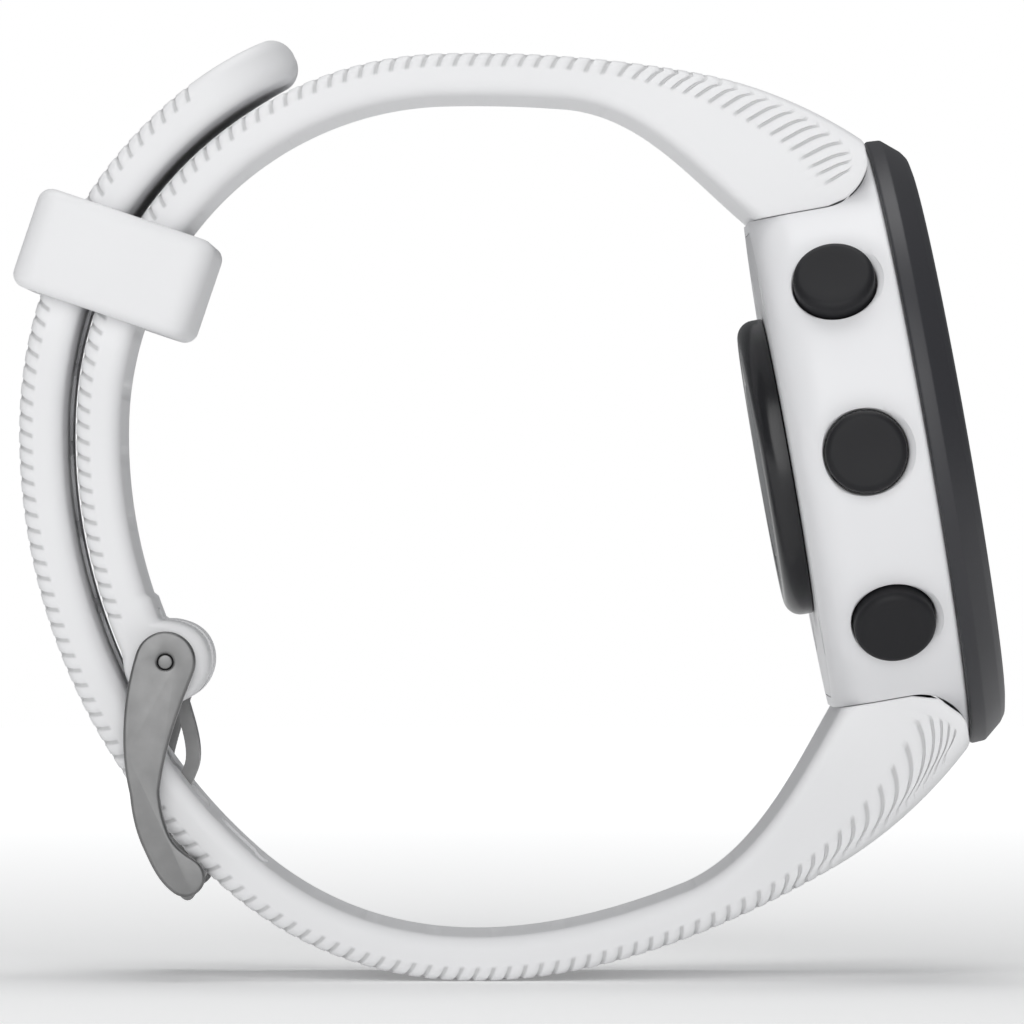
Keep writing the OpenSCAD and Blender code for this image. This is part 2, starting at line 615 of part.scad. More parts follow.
module buckle_frame() color("darkgray") difference() {
    union() {
        for (s = [-1, 1]) translate([0, s * (plate_in + plate_out) / 2, 0]) {
            loop_slab(concat(plate_side(1), reversed(plate_side(-1))), plate_t);
            translate([pin_at[0], 0, pin_at[1]]) across(plate_head_r, plate_t);
            translate([bar_at[0], 0, bar_at[1]]) across(bar_r + 0.3, plate_t);
        }
        translate([bar_at[0], 0, bar_at[1]]) across(bar_r, 2 * plate_in + 0.4);
    }
    translate([pin_at[0], 0, pin_at[1]]) across(buckle_pin_d / 2 + 0.01, 2 * plate_out + 1);
    // the seat of the tongue's tip
    at_pose([side_centre[0], side_centre[1], bar_angle])
        translate([bar_out + bar_r - bar_seat, -tongue_slot_w / 2, -3]) cube([3, tongue_slot_w, 6]);
}

module buckle_pin() color("silver") translate([pin_at[0], 0, pin_at[1]])
    across(buckle_pin_d / 2, 2 * plate_out - 0.1);

module buckle_tongue() color("darkgray") difference() {
    union() {
        loop_slab(concat(beside(tongue_line, tongue_t / 2), beside(reversed(tongue_line), -tongue_t / 2)),
            tongue_w);
        translate([pin_at[0], 0, pin_at[1]]) across(1.5, tongue_w);
        at_pose(tongue_line[len(tongue_line) - 1]) across(tongue_t / 2, tongue_w);
    }
    translate([pin_at[0], 0, pin_at[1]]) across(buckle_pin_d / 2 + run, tongue_w + 1);
}

// ---------------------------------------------------------------- assembly

light = button_angles[0];
up = button_angles[1];
down = button_angles[2];
start = button_angles[3];
back = button_angles[4];

case_body();
bezel();
lens();
lens_seal();
display_module();
light_guide();
display_frame();
antenna_ring();
main_board();
board_chips();
shield_can();
mid_frame();
battery();
battery_pad();
vibration_motor();
buzzer();
flex_cable();
button_switches();
back_cover();
back_seal();
back_screws();
sensor_pod();
sensor_window();
sensor_board();
sensor_leds();
photodiode();
charging_port();
charging_contacts();
button_cap(light);  // light_button_cap
button_seal(light);  // light_button_seal
button_clip(light);  // light_button_clip
button_spring(light);  // light_button_spring
button_cap(up);  // up_button_cap
button_seal(up);  // up_button_seal
button_clip(up);  // up_button_clip
button_spring(up);  // up_button_spring
button_cap(down);  // down_button_cap
button_seal(down);  // down_button_seal
button_clip(down);  // down_button_clip
button_spring(down);  // down_button_spring
button_cap(start);  // start_button_cap
button_seal(start);  // start_button_seal
button_clip(start);  // start_button_clip
button_spring(start);  // start_button_spring
button_cap(back);  // back_button_cap
button_seal(back);  // back_button_seal
button_clip(back);  // back_button_clip
button_spring(back);  // back_button_spring
upper_strap();
lower_strap();
upper_spring_bar();
lower_spring_bar();
spring_bar_tips();
keeper_loop();
buckle_frame();
buckle_pin();
buckle_tongue();
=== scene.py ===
# %% [markdown]
# # A running watch, fastened on its own band
#
# The watch stands on its band, seen from the side with three buttons.
# The CAD model is the fixed frame: every piece below is made at the place that the CAD gives,
# rides on a CAD body, and stands for the CAD node whose rough shape it replaces.
#
# Lengths are written in millimetres, as on a drawing, and `MM` turns them into metres.

import json
import math

import bmesh
import bpy
import numpy as np
from mathutils import Matrix, Vector


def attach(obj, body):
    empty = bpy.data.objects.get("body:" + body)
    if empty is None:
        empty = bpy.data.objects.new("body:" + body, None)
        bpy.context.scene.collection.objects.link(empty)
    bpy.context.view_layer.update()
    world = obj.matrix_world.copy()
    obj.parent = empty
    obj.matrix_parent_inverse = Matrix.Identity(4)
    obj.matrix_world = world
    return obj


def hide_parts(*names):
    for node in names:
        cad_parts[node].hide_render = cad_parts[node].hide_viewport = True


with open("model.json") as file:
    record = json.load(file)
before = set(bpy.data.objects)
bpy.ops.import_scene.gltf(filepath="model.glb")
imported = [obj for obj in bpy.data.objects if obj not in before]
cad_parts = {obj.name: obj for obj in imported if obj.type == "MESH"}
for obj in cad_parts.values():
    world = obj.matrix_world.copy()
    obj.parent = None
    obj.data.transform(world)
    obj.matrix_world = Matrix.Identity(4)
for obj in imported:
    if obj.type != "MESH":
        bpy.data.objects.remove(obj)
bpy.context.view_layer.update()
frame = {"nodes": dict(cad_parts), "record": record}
MM = 0.001

# %% [markdown]
# ## Two benches
#
# The case leans back by ten degrees, and the band is drawn in the side view.
# A piece of the case is easiest to make upright, round its own axis, with x towards
# twelve o'clock, y towards the three buttons and z out of the display.
# One matrix then leans the finished mesh into the frame, so no piece is turned by eye.

# %% The case's own bench
LEAN, BUTTON_Z = math.radians(10), 6.3
CASE = Matrix((
    (-math.sin(LEAN), 0, math.cos(LEAN), 0),
    (0, -1, 0, 0),
    (math.cos(LEAN), 0, math.sin(LEAN), 0),
    (0, 0, 0, 1)))


def button_bench(angle):
    """The bench of a button at this angle round the case: z runs out along the button's stem."""
    return CASE @ Matrix.Rotation(math.radians(angle), 4, "Z") @ Matrix.Translation(
        (0, 0, BUTTON_Z * MM)) @ Matrix.Rotation(math.radians(90), 4, "Y")


def side_bench(x, z, heading):
    """A bench in the side view: x along the heading, y across the band, z to the left."""
    c, s = math.cos(math.radians(heading)), math.sin(math.radians(heading))
    return Matrix(((c, 0, -s, x * MM), (0, 1, 0, 0), (s, 0, c, z * MM), (0, 0, 0, 1)))


BUTTONS = {"light": 55.4, "up": 90.0, "down": 124.6, "start": -55.4, "back": -124.6}
print("buttons at", BUTTONS)

# %% [markdown]
# ## Handling pieces in code
#
# An operator works on everything that is selected, so each step first selects one object alone,
# and picks faces or edges by where they are. `settle` is the last step of every piece:
# it moves the mesh to its place, leaves the object itself at the origin, makes the faces point
# outwards, smooths all but the sharp edges, ties the piece to its body and hides the CAD node it replaces.

# %% Helpers for selecting, changing and settling a piece
def alone(obj):
    if bpy.context.object and bpy.context.object.mode != "OBJECT":
        bpy.ops.object.mode_set(mode="OBJECT")
    bpy.ops.object.select_all(action="DESELECT")
    obj.select_set(True)
    bpy.context.view_layer.objects.active = obj


def edit(obj, kind="FACE", test=None):
    """Opens edit mode and selects the faces, edges or vertices whose middle passes the test."""
    alone(obj)
    bpy.ops.object.mode_set(mode="EDIT")
    bpy.ops.mesh.select_mode(type=kind)
    bpy.ops.mesh.select_all(action="SELECT" if test is None else "DESELECT")
    if test is None:
        return
    mesh = bmesh.from_edit_mesh(obj.data)
    group = {"FACE": mesh.faces, "EDGE": mesh.edges, "VERT": mesh.verts}[kind]
    for part in group:
        corners = [part] if kind == "VERT" else part.verts
        middle = sum((v.co for v in corners), Vector()) / len(corners) / MM
        normal = part.normal if kind == "FACE" else Vector()
        part.select_set(bool(test(middle, normal, part)))
    mesh.select_flush_mode()
    bmesh.update_edit_mesh(obj.data)


def leave():
    bpy.ops.object.mode_set(mode="OBJECT")
    return bpy.context.object


def block(size, middle=(0, 0, 0)):
    """A box of this size in mm, with its size and place already in its mesh."""
    bpy.ops.mesh.primitive_cube_add(size=1, location=Vector(middle) * MM, scale=Vector(size) * MM)
    bpy.ops.object.transform_apply(location=True, rotation=True, scale=True)
    return bpy.context.object


def modify(obj, kind, **settings):
    alone(obj)
    step = obj.modifiers.new(kind.lower(), kind)
    for name, value in settings.items():
        setattr(step, name, value)
    bpy.ops.object.modifier_apply(modifier=step.name)
    return obj


def carve(obj, cutter, operation="DIFFERENCE", solver="EXACT"):
    modify(obj, "BOOLEAN", object=cutter, operation=operation, solver=solver)
    bpy.data.objects.remove(cutter)
    return obj


def soften(obj, width, segments=3, angle=30):
    return modify(obj, "BEVEL", width=width * MM, segments=segments, limit_method="ANGLE",
                  angle_limit=math.radians(angle), harden_normals=False)


def settle(obj, name, body, node, slot, bench=Matrix.Identity(4), smooth=35, outward=True, finish=None):
    obj.name = obj.data.name = name
    obj.matrix_world = bench @ obj.matrix_world
    edit(obj)
    bpy.ops.mesh.remove_doubles(threshold=0.002 * MM)
    leave()
    bpy.ops.object.transform_apply(location=True, rotation=True, scale=True)
    if outward:
        edit(obj)
        bpy.ops.mesh.normals_make_consistent(inside=False)
        leave()
    bpy.ops.object.shade_smooth_by_angle(angle=math.radians(smooth))
    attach(obj, body)
    if node:
        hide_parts(node)
    obj.data.materials.clear()
    obj.data.materials.append(finishes[finish or slot])
    print(f"{name}: {len(obj.data.polygons)} faces")
    return obj


# %% [markdown]
# ## Turning round pieces
#
# The case, the bezel, the lens, the caps and the sensor pod are all turned shapes.
# A cylinder with bevels would do for a plain disc, but a turned profile gives each its own steps.
# So one vertex is extruded along half of the cross-section, and Spin sweeps that line round the axis.

# %% A lathe: one profile, spun
def lathe(profile, steps=192):
    """profile is a list of [radius, height] in mm: from the axis back to the axis, or a closed ring."""
    closed = profile[0][0] > 0 or profile[-1][0] > 0
    bpy.ops.mesh.primitive_plane_add(size=MM)
    obj = bpy.context.object
    bpy.ops.object.mode_set(mode="EDIT")
    bpy.ops.mesh.select_mode(type="VERT")
    mesh = bmesh.from_edit_mesh(obj.data)
    bmesh.ops.delete(mesh, geom=list(mesh.verts)[1:], context="VERTS")
    mesh.verts.ensure_lookup_table()
    mesh.verts[0].co = Vector((profile[0][0], 0, profile[0][1])) * MM
    mesh.verts[0].select_set(True)
    bmesh.update_edit_mesh(obj.data)
    here = profile[0]
    for there in profile[1:] + ([profile[0]] if closed else []):
        bpy.ops.mesh.extrude_region_move(TRANSFORM_OT_translate={
            "value": ((there[0] - here[0]) * MM, 0, (there[1] - here[1]) * MM)})
        here = there
    bpy.ops.mesh.select_all(action="SELECT")
    bpy.ops.mesh.spin(steps=steps, angle=2 * math.pi, center=(0, 0, 0), axis=(0, 0, 1))
    bpy.ops.mesh.select_all(action="SELECT")
    bpy.ops.mesh.remove_doubles(threshold=0.002 * MM)
    bpy.ops.mesh.normals_make_consistent(inside=False)
    return leave()

# %% [markdown]
# ## Finishes
#
# Moulded plastic, rubber and steel never have one flat colour. Three effects recur, and each is
# built once as a shader node group: a fine moulding grain, the faint clouding left by moulding
# and handling, and brush lines in metal. Every finish places the group with its own values.
# Plain numbers that are the same all over stay on the shader's own sockets.

# %% Shared node groups
def new_group(name, inputs, outputs):
    tree = bpy.data.node_groups.new(name, "ShaderNodeTree")
    for label, kind, value in inputs:
        socket = tree.interface.new_socket(label, in_out="INPUT", socket_type="NodeSocket" + kind)
        if value is not None:
            socket.default_value = value
    for label, kind in outputs:
        tree.interface.new_socket(label, in_out="OUTPUT", socket_type="NodeSocket" + kind)
    return tree, tree.nodes.new("NodeGroupInput"), tree.nodes.new("NodeGroupOutput")


def add(tree, kind, **settings):
    node = tree.nodes.new("ShaderNode" + kind)
    for name, value in settings.items():
        setattr(node, name, value)
    return node


def join(tree, start, start_socket, end, end_socket):
    tree.links.new(start.outputs[start_socket], end.inputs[end_socket])


# a noise on the piece's own coordinates, bumped into a grain
grain, g_in, g_out = new_group("moulding_grain", [("Scale", "Float", 3000), ("Height", "Float", 1e-5)],
                               [("Normal", "Vector")])
where, noise, bump = add(grain, "TexCoord"), add(grain, "TexNoise"), add(grain, "Bump")
join(grain, where, "Object", noise, "Vector")
join(grain, g_in, "Scale", noise, "Scale")
join(grain, noise, "Fac", bump, "Height")
join(grain, g_in, "Height", bump, "Distance")
join(grain, bump, "Normal", g_out, "Normal")

# slow clouds that shift colour and gloss a little
cloud, c_in, c_out = new_group("soft_clouding", [
    ("Colour", "Color", None), ("Deeper colour", "Color", None), ("Roughness", "Float", 0.5),
    ("Roughness spread", "Float", 0.1), ("Scale", "Float", 120)],
    [("Colour", "Color"), ("Roughness", "Float")])
where, noise = add(cloud, "TexCoord"), add(cloud, "TexNoise")
noise.inputs["Detail"].default_value = 6
blend = add(cloud, "Mix", data_type="RGBA")
spread = add(cloud, "Math", operation="MULTIPLY_ADD")
join(cloud, where, "Object", noise, "Vector")
join(cloud, c_in, "Scale", noise, "Scale")
join(cloud, noise, "Fac", blend, "Factor")
cloud.links.new(c_in.outputs["Colour"], blend.inputs[6])
cloud.links.new(c_in.outputs["Deeper colour"], blend.inputs[7])
cloud.links.new(blend.outputs[2], c_out.inputs["Colour"])
join(cloud, noise, "Fac", spread, 0)
join(cloud, c_in, "Roughness spread", spread, 1)
join(cloud, c_in, "Roughness", spread, 2)
join(cloud, spread, 0, c_out, "Roughness")

# fine lines along one direction, as a brush leaves them
brush, b_in, b_out = new_group("brush_lines", [
    ("Stretch", "Vector", (400, 400, 9000)), ("Height", "Float", 4e-6)], [("Normal", "Vector")])
where, squeeze, noise, bump = (add(brush, k) for k in ("TexCoord", "Mapping", "TexNoise", "Bump"))
noise.inputs["Scale"].default_value = 1
noise.inputs["Detail"].default_value = 3
join(brush, where, "Object", squeeze, "Vector")
join(brush, b_in, "Stretch", squeeze, "Scale")
join(brush, squeeze, "Vector", noise, "Vector")
join(brush, noise, "Fac", bump, "Height")
join(brush, b_in, "Height", bump, "Distance")
join(brush, bump, "Normal", b_out, "Normal")
print("groups:", [g.name for g in bpy.data.node_groups])

# %% [markdown]
# Each finish is one Principled shader with the groups plugged into it.
# The rubber also reads the attribute `groove`, which the band's mesh carries: the fine grooves
# are painted a little grey, a painted shade in the hollows, so they stay readable in flat light.

# %% Finishes of the watch
def grey(value, blue=0.0):
    return (value, value, value * (1 + blue), 1)


def make_finish(slot, colour, deeper, roughness, spread=0.08, clouds=120, grain_scale=3000, height=1e-5,
                lines=None, grooves=False, **plain):
    material = bpy.data.materials.new(slot)
    material.use_nodes = True
    tree = material.node_tree
    shader = tree.nodes["Principled BSDF"]
    for name, value in plain.items():
        shader.inputs[name.replace("_", " ")].default_value = value
    clouding = add(tree, "Group", node_tree=cloud)
    for name, value in (("Colour", colour), ("Deeper colour", deeper), ("Roughness", roughness),
                        ("Roughness spread", spread), ("Scale", clouds)):
        clouding.inputs[name].default_value = value
    join(tree, clouding, "Roughness", shader, "Roughness")
    if grooves:
        # painted shade: the base colour is mixed towards grey wherever the groove attribute is set
        groove_shade, mix = add(tree, "Attribute", attribute_name="groove"), add(tree, "Mix", data_type="RGBA")
        join(tree, groove_shade, "Fac", mix, "Factor")
        tree.links.new(clouding.outputs["Colour"], mix.inputs[6])
        mix.inputs[7].default_value = grey(0.56, 0.01)
        tree.links.new(mix.outputs[2], shader.inputs["Base Color"])
    else:
        join(tree, clouding, "Colour", shader, "Base Color")
    surface = add(tree, "Group", node_tree=brush if lines else grain)
    surface.inputs["Height"].default_value = height
    if lines:
        surface.inputs["Stretch"].default_value = lines
    else:
        surface.inputs["Scale"].default_value = grain_scale
    join(tree, surface, "Normal", shader, "Normal")
    finishes[slot] = material
    return material


finishes = {}
make_finish("white_shell", grey(0.80, 0.015), grey(0.765, 0.02), 0.34, 0.05, height=2.5e-6)
make_finish("white_silicone", grey(0.82, 0.01), grey(0.79, 0.012), 0.50, 0.06, grain_scale=6000,
            height=3e-6, grooves=True)
make_finish("charcoal_shell", (0.030, 0.030, 0.035, 1), (0.022, 0.022, 0.026, 1), 0.40, 0.1,
            grain_scale=7000, height=5e-6)
make_finish("button_black", (0.012, 0.012, 0.014, 1), (0.009, 0.009, 0.011, 1), 0.50, 0.08,
            grain_scale=8000, height=4e-6, Specular_IOR_Level=0.3)
make_finish("pod_black", (0.012, 0.012, 0.014, 1), (0.009, 0.009, 0.011, 1), 0.24, 0.05, height=5e-7)
make_finish("screen", (0.018, 0.021, 0.019, 1), (0.014, 0.017, 0.016, 1), 0.30, 0.05,
            grain_scale=12000, height=1e-6)
make_finish("back_plastic", grey(0.70, 0.015), grey(0.66, 0.02), 0.30, 0.05, height=2e-6)
make_finish("steel", grey(0.25), grey(0.20), 0.38, 0.10, clouds=900, lines=(900, 9000, 900),
            height=3e-6, Metallic=1.0)
make_finish("board_green", (0.015, 0.10, 0.04, 1), (0.01, 0.07, 0.03, 1), 0.35)
make_finish("chip_black", grey(0.03), grey(0.02), 0.55, grain_scale=9000)
make_finish("copper", (0.75, 0.38, 0.20, 1), (0.6, 0.28, 0.14, 1), 0.30, Metallic=1.0)
make_finish("gold", (0.83, 0.62, 0.26, 1), (0.74, 0.52, 0.2, 1), 0.22, Metallic=1.0, height=1e-6)
make_finish("grey_plastic", grey(0.30), grey(0.25), 0.50)
make_finish("seal_rubber", grey(0.030), grey(0.022), 0.65)
make_finish("foam", (0.22, 0.21, 0.17, 1), (0.15, 0.14, 0.11, 1), 0.9, grain_scale=2500, height=6e-5)
make_finish("led_clear", (0.20, 0.60, 0.25, 1), (0.14, 0.5, 0.2, 1), 0.2)
make_finish("lens_glass", (0.90, 0.92, 0.92, 1), (0.86, 0.88, 0.89, 1), 0.02, 0.02, height=1e-7,
            Transmission_Weight=1.0, IOR=1.5)
make_finish("window_glass", (0.20, 0.20, 0.22, 1), (0.17, 0.17, 0.19, 1), 0.03, 0.02, height=1e-7,
            Transmission_Weight=1.0, IOR=1.5)
for part in frame["record"]["subparts"]:
    node = frame["nodes"][part["node"]]
    node.data.materials.clear()
    node.data.materials.append(finishes[part["material_slot"]])
print(len(finishes), "finishes")

# %% [markdown]
# ## The case shell
#
# The shell is one white moulding: a drum with a well-rounded back edge, a shallow dish round each
# button, a curved seat cut into both ends for the straps, and a recess for the back cover.
# The drum is turned. The dishes are pressed into the turned wall by moving its vertices along a
# smooth curve, because a boolean would leave a hard rim where the real one fades out.
# Then the bores, the seats and the recess are carved, and the new edges get a small bevel.

# %% Turn the shell and press the dishes
CASE_R, CASE_TOP, BACK_Z = 19.4, 10.25, 1.8
back_edge = [[CASE_R - 2.8 * (1 - math.sin(a)), BACK_Z + 2.8 * (1 - math.cos(a))]
             for a in np.radians(np.linspace(0, 90, 13))]
wall = [[CASE_R, z] for z in np.arange(4.9, CASE_TOP - 0.3, 0.3)]
crown = [[CASE_R - 0.3 + 0.3 * math.cos(a), CASE_TOP - 0.3 + 0.3 * math.sin(a)]
         for a in np.radians(np.linspace(0, 90, 6))]
shell = lathe([[15.2, 2.2], [15.2, BACK_Z], *back_edge, *wall, *crown, [15.62, CASE_TOP], [15.62, 8.65],
               [15.2, 8.65]], steps=360)
DISH_R, DISH_DEPTH = 4.15, 0.30
for v in shell.data.vertices:
    r, angle, z = math.hypot(v.co.x, v.co.y) / MM, math.degrees(math.atan2(v.co.y, v.co.x)), v.co.z / MM
    if r < 17:
        continue
    for a in BUTTONS.values():
        around = math.radians((angle - a + 180) % 360 - 180) * r
        share = math.hypot(around, z - BUTTON_Z) / DISH_R
        if share < 1:
            sunk = DISH_DEPTH * min(1, 1.25 * (1 - share ** 2)) ** 1.6
            v.co.x *= 1 - sunk / r
            v.co.y *= 1 - sunk / r
print(len(shell.data.vertices), "vertices in the shell")

# %% [markdown]
# Cutters are turned and extruded like any other piece. A button's cutter flares where it breaks
# the surface, which leaves the bore with a soft lip.

# %% Carve the bores, the strap seats and the recess
def slab(outline, width, bench=Matrix.Identity(4)):
    """An outline of [x, z] points in mm, filled and extruded to the width, centred on y = 0."""
    bpy.ops.mesh.primitive_circle_add(vertices=len(outline), radius=1, fill_type="NGON")
    obj = bpy.context.object
    for v, (x, z) in zip(obj.data.vertices, outline):
        v.co = Vector((x, -width / 2, z)) * MM
    edit(obj)
    bpy.ops.mesh.extrude_region_move(TRANSFORM_OT_translate={"value": (0, width * MM, 0)})
    bpy.ops.mesh.select_all(action="SELECT")
    bpy.ops.mesh.normals_make_consistent(inside=False)
    leave()
    obj.data.transform(bench)
    return obj


CAP_R = 2.6
upright = CASE.inverted()
for angle in BUTTONS.values():
    bore = lathe([[0, 17.2], [CAP_R + 0.1, 17.2], [CAP_R + 0.1, 18.86], [CAP_R + 0.13, 18.98],
                  [CAP_R + 0.24, 19.09], [CAP_R + 0.55, 19.22], [CAP_R + 0.55, 24], [0, 24]], steps=96)
    bore.data.transform(upright @ button_bench(angle))
    carve(shell, bore)
SEAT_X, SEAT_R, SEAT_RISE, SEAT_TOP = 15.77, 3.5, 3.25, CASE_TOP - 0.3
seat_top_turn = math.asin(SEAT_RISE / SEAT_R)


def seat_line(clearance=0.0, pieces=18):
    """The curve of [x, z] points, in the case's bench, along which a strap meets the case."""
    r = SEAT_R - clearance
    turn = math.asin(min(1, SEAT_RISE / r))
    return [[SEAT_X + clearance, BACK_Z + 0.4]] + [
        [SEAT_X + SEAT_R - r * math.cos(turn * i / pieces),
         SEAT_TOP - clearance - SEAT_RISE + r * math.sin(turn * i / pieces)] for i in range(pieces + 1)]


for side in (1, -1):
    cutter = slab([[side * x, z] for x, z in [[SEAT_X, 0]] + seat_line() + [[22, SEAT_TOP], [22, 0]]], 44)
    carve(shell, cutter)


def flatted(radius, flat, low, high, steps=192):
    """A turned disc with two flats, which face the straps."""
    disc = lathe([[0, low], [radius, low], [radius, high], [0, high]], steps=steps)
    for side in (1, -1):
        edit(disc)
        bpy.ops.mesh.bisect(plane_co=(side * flat * MM, 0, 0), plane_no=(side, 0, 0),
                            clear_outer=True, use_fill=True)
        leave()
    return disc


carve(shell, flatted(16.2, 15.17, 0, 3.5))
soften(shell, 0.09, segments=2, angle=38)
settle(shell, "case_shell", "case", "case_body", "white_shell", CASE)

# %% [markdown]
# ## Bezel, lens and display
#
# The bezel is a charcoal ring that stands a little proud of the shell. Its outside is nearly
# straight, then leans in, then rolls over to a flat rim that falls to the lens.
# The lens is a clear disc with a ground edge, and below it lies the display with a plain dial:
# a ring of minute marks and the time in digits, made from Blender's own text object.

# %% Bezel and lens
BEZEL_R = 19.75
bezel = lathe([[15.62, CASE_TOP], [BEZEL_R - 0.12, CASE_TOP], [BEZEL_R, CASE_TOP + 0.14],
               [BEZEL_R - 0.05, 11.25], [18.75, 12.39], [18.27, 12.73], [17.65, 12.85],
               [17.35, 12.85], [17.05, 12.6], [17.0, 11.25], [15.62, 11.25]], steps=256)
soften(bezel, 0.10, segments=3, angle=12)
settle(bezel, "bezel_ring", "case", "bezel", "charcoal_shell", CASE, smooth=50)

lens = lathe([[0, 11.5], [16.93, 11.5], [16.93, 12.25], [16.75, 12.45], [0, 12.45]], steps=192)
soften(lens, 0.05, segments=2)
settle(lens, "display_lens", "case", "lens", "lens_glass", CASE)

# %% Display and dial
screen = lathe([[0, 9.6], [14.2, 9.6], [14.2, 11.1], [14.1, 11.2], [0, 11.2]], steps=128)
settle(screen, "display_face", "case", "display_module", "screen", CASE)

make_finish("dial_print", grey(0.62), grey(0.58), 0.4, 0.04, height=5e-7)
make_finish("dial_accent", (0.10, 0.42, 0.46, 1), (0.08, 0.36, 0.40, 1), 0.4, 0.04, height=5e-7)
DIAL_Z = 11.2
marks = []
for minute in range(60):
    bpy.ops.mesh.primitive_cube_add(size=1)
    tick = bpy.context.object
    size = (1.5, 0.42, 0.04) if minute % 5 == 0 else (0.7, 0.16, 0.04)
    tick.matrix_world = Matrix.Rotation(math.radians(6 * minute), 4, "Z") @ Matrix.Translation(
        ((13.6 - size[0] / 2) * MM, 0, (DIAL_Z + 0.02) * MM)) @ Matrix.Diagonal((*Vector(size) * MM, 1))
    marks.append(tick)


def fuse(parts):
    """Joins separate meshes into one object, each with its place in its mesh."""
    alone(parts[0])
    for part in parts:
        part.select_set(True)
    bpy.ops.object.transform_apply(location=True, rotation=True, scale=True)
    bpy.ops.object.join()
    return bpy.context.object


def digits(text, size, up, across):
    """Digits that read upright with twelve o'clock at the top, as a thin raised mesh."""
    bpy.ops.object.text_add()
    label = bpy.context.object
    label.data.body, label.data.size = text, size * MM
    label.data.align_x, label.data.align_y = "CENTER", "CENTER"
    label.data.extrude, label.data.resolution_u = 0.02 * MM, 6
    bpy.ops.object.convert(target="MESH")
    label = bpy.context.object
    label.matrix_world = Matrix.Translation((up * MM, across * MM, (DIAL_Z + 0.02) * MM)) @ \
        Matrix.Rotation(math.radians(-90), 4, "Z") @ label.matrix_world
    return label


ring = fuse(marks)
settle(ring, "dial_ring", "case", None, "screen", CASE, finish="dial_accent")
face = fuse([digits("10:08", 8.2, 1.2, 0), digits("28", 3.6, 7.6, 0), digits("6 420", 2.8, -5.6, 0)])
settle(face, "dial_digits", "case", None, "screen", CASE, outward=False, finish="dial_print")

# %% [markdown]
# ## Back cover, sensor pod and window
#
# The back is a light grey plate with two flats, held by four screws. The heart-rate pod stands
# out of it: a gloss black turned button with a rolled edge and a clear window, under which the
# small emitters of the CAD model show. These are turned again, and the plate is cut with bisect.

# %% Back cover
POD_R, NECK_R, WINDOW_R, PORT_Y = 9.65, 7.9, 5.65, -12.6
SCREWS = [(x * 10.97, y * 9.17) for x in (1, -1) for y in (1, -1)]
cover = flatted(16.15, 15.12, BACK_Z, 3.2)
cutters = [lathe([[0, 0], [NECK_R + 0.05, 0], [NECK_R + 0.05, 5], [0, 5]], steps=128)]
for x, y in SCREWS:
    hole = lathe([[0, 0], [1.45, 0], [1.45, 1.75], [1.2, 1.95], [1.2, 2.5], [0.65, 2.5],
                  [0.65, 5], [0, 5]], steps=48)
    hole.location = (x * MM, y * MM, 0)
    cutters.append(hole)
bpy.ops.mesh.primitive_cube_add(size=1, location=(0, PORT_Y * MM, BACK_Z * MM),
                                scale=(7 * MM, 3.4 * MM, 4 * MM))
port = bpy.context.object
edit(port, "EDGE", lambda c, n, e: abs(c.z - BACK_Z) < 0.5)
bpy.ops.mesh.bevel(offset=0.5 * MM, segments=5)
leave()
cutters.append(port)
for cutter in cutters:
    carve(cover, cutter)
soften(cover, 0.12, segments=2, angle=40)
settle(cover, "back_plate", "case", "back_cover", "back_plastic", CASE)

# %% Sensor pod, window, charging insert and screws
ROLL_R = 1.1
roll = [[POD_R - ROLL_R * (1 - math.sin(a)), ROLL_R * (1 - math.cos(a))]
        for a in np.radians(np.linspace(0, 90, 9))]
pod = lathe([[WINDOW_R + 0.04, 0.06], [WINDOW_R + 0.14, 0], *roll, [POD_R, 1.68],
             [POD_R - 0.08, 1.75], [NECK_R, 1.75], [NECK_R, 3.0], [6.9, 3.0], [6.9, 1.1],
             [5.2, 1.1], [5.2, 0.6], [WINDOW_R + 0.04, 0.6]])
settle(pod, "sensor_pod_shell", "case", "sensor_pod", "pod_black", CASE)
window = lathe([[0, 0], [WINDOW_R - 0.06, 0], [WINDOW_R, 0.06], [WINDOW_R, 0.55], [0, 0.55]], steps=128)
settle(window, "sensor_window_glass", "case", "sensor_window", "window_glass", CASE)

bpy.ops.mesh.primitive_cube_add(size=1, location=(0, PORT_Y * MM, 2.45 * MM),
                                scale=(6.9 * MM, 3.3 * MM, 1.3 * MM))
insert = bpy.context.object
edit(insert, "EDGE", lambda c, n, e: abs(c.z - 2.45) < 0.3)
bpy.ops.mesh.bevel(offset=0.45 * MM, segments=5)
leave()
edit(insert, "FACE", lambda c, n, f: n.z < -0.9)
bpy.ops.mesh.inset(thickness=0.5 * MM)
bpy.ops.mesh.extrude_region_move(TRANSFORM_OT_translate={"value": (0, 0, 0.4 * MM)})
leave()
for i in (-1.5, -0.5, 0.5, 1.5):
    well = lathe([[0, 0], [0.5, 0], [0.5, 4], [0, 4]], steps=32)
    well.location = (i * 1.5 * MM, PORT_Y * MM, 0)
    carve(insert, well)
soften(insert, 0.06, segments=2)
settle(insert, "charging_insert", "case", "charging_port", "pod_black", CASE)

screws = []
for x, y in SCREWS:
    screw = lathe([[0, 1.95], [0.95, 1.95], [1.1, 2.05], [1.1, 2.5], [0.55, 2.5], [0.55, 6.3],
                   [0, 6.3]], steps=48)
    bpy.ops.mesh.primitive_cylinder_add(vertices=6, radius=0.5 * MM, depth=0.9 * MM,
                                        location=(0, 0, 1.95 * MM))
    carve(screw, bpy.context.object)
    screw.location = (x * MM, y * MM, 0)
    screws.append(screw)
settle(fuse(screws), "cover_screws", "case", "back_screws", "steel", CASE)

# %% [markdown]
# ## Buttons
#
# All five caps are the same turned part: a flat face with a rolled rim, a skirt that slides in
# the bore, and a stem with a groove for its clip. One is turned, and the others are copies with
# their own mesh, each on its own body, so each can be pressed alone.

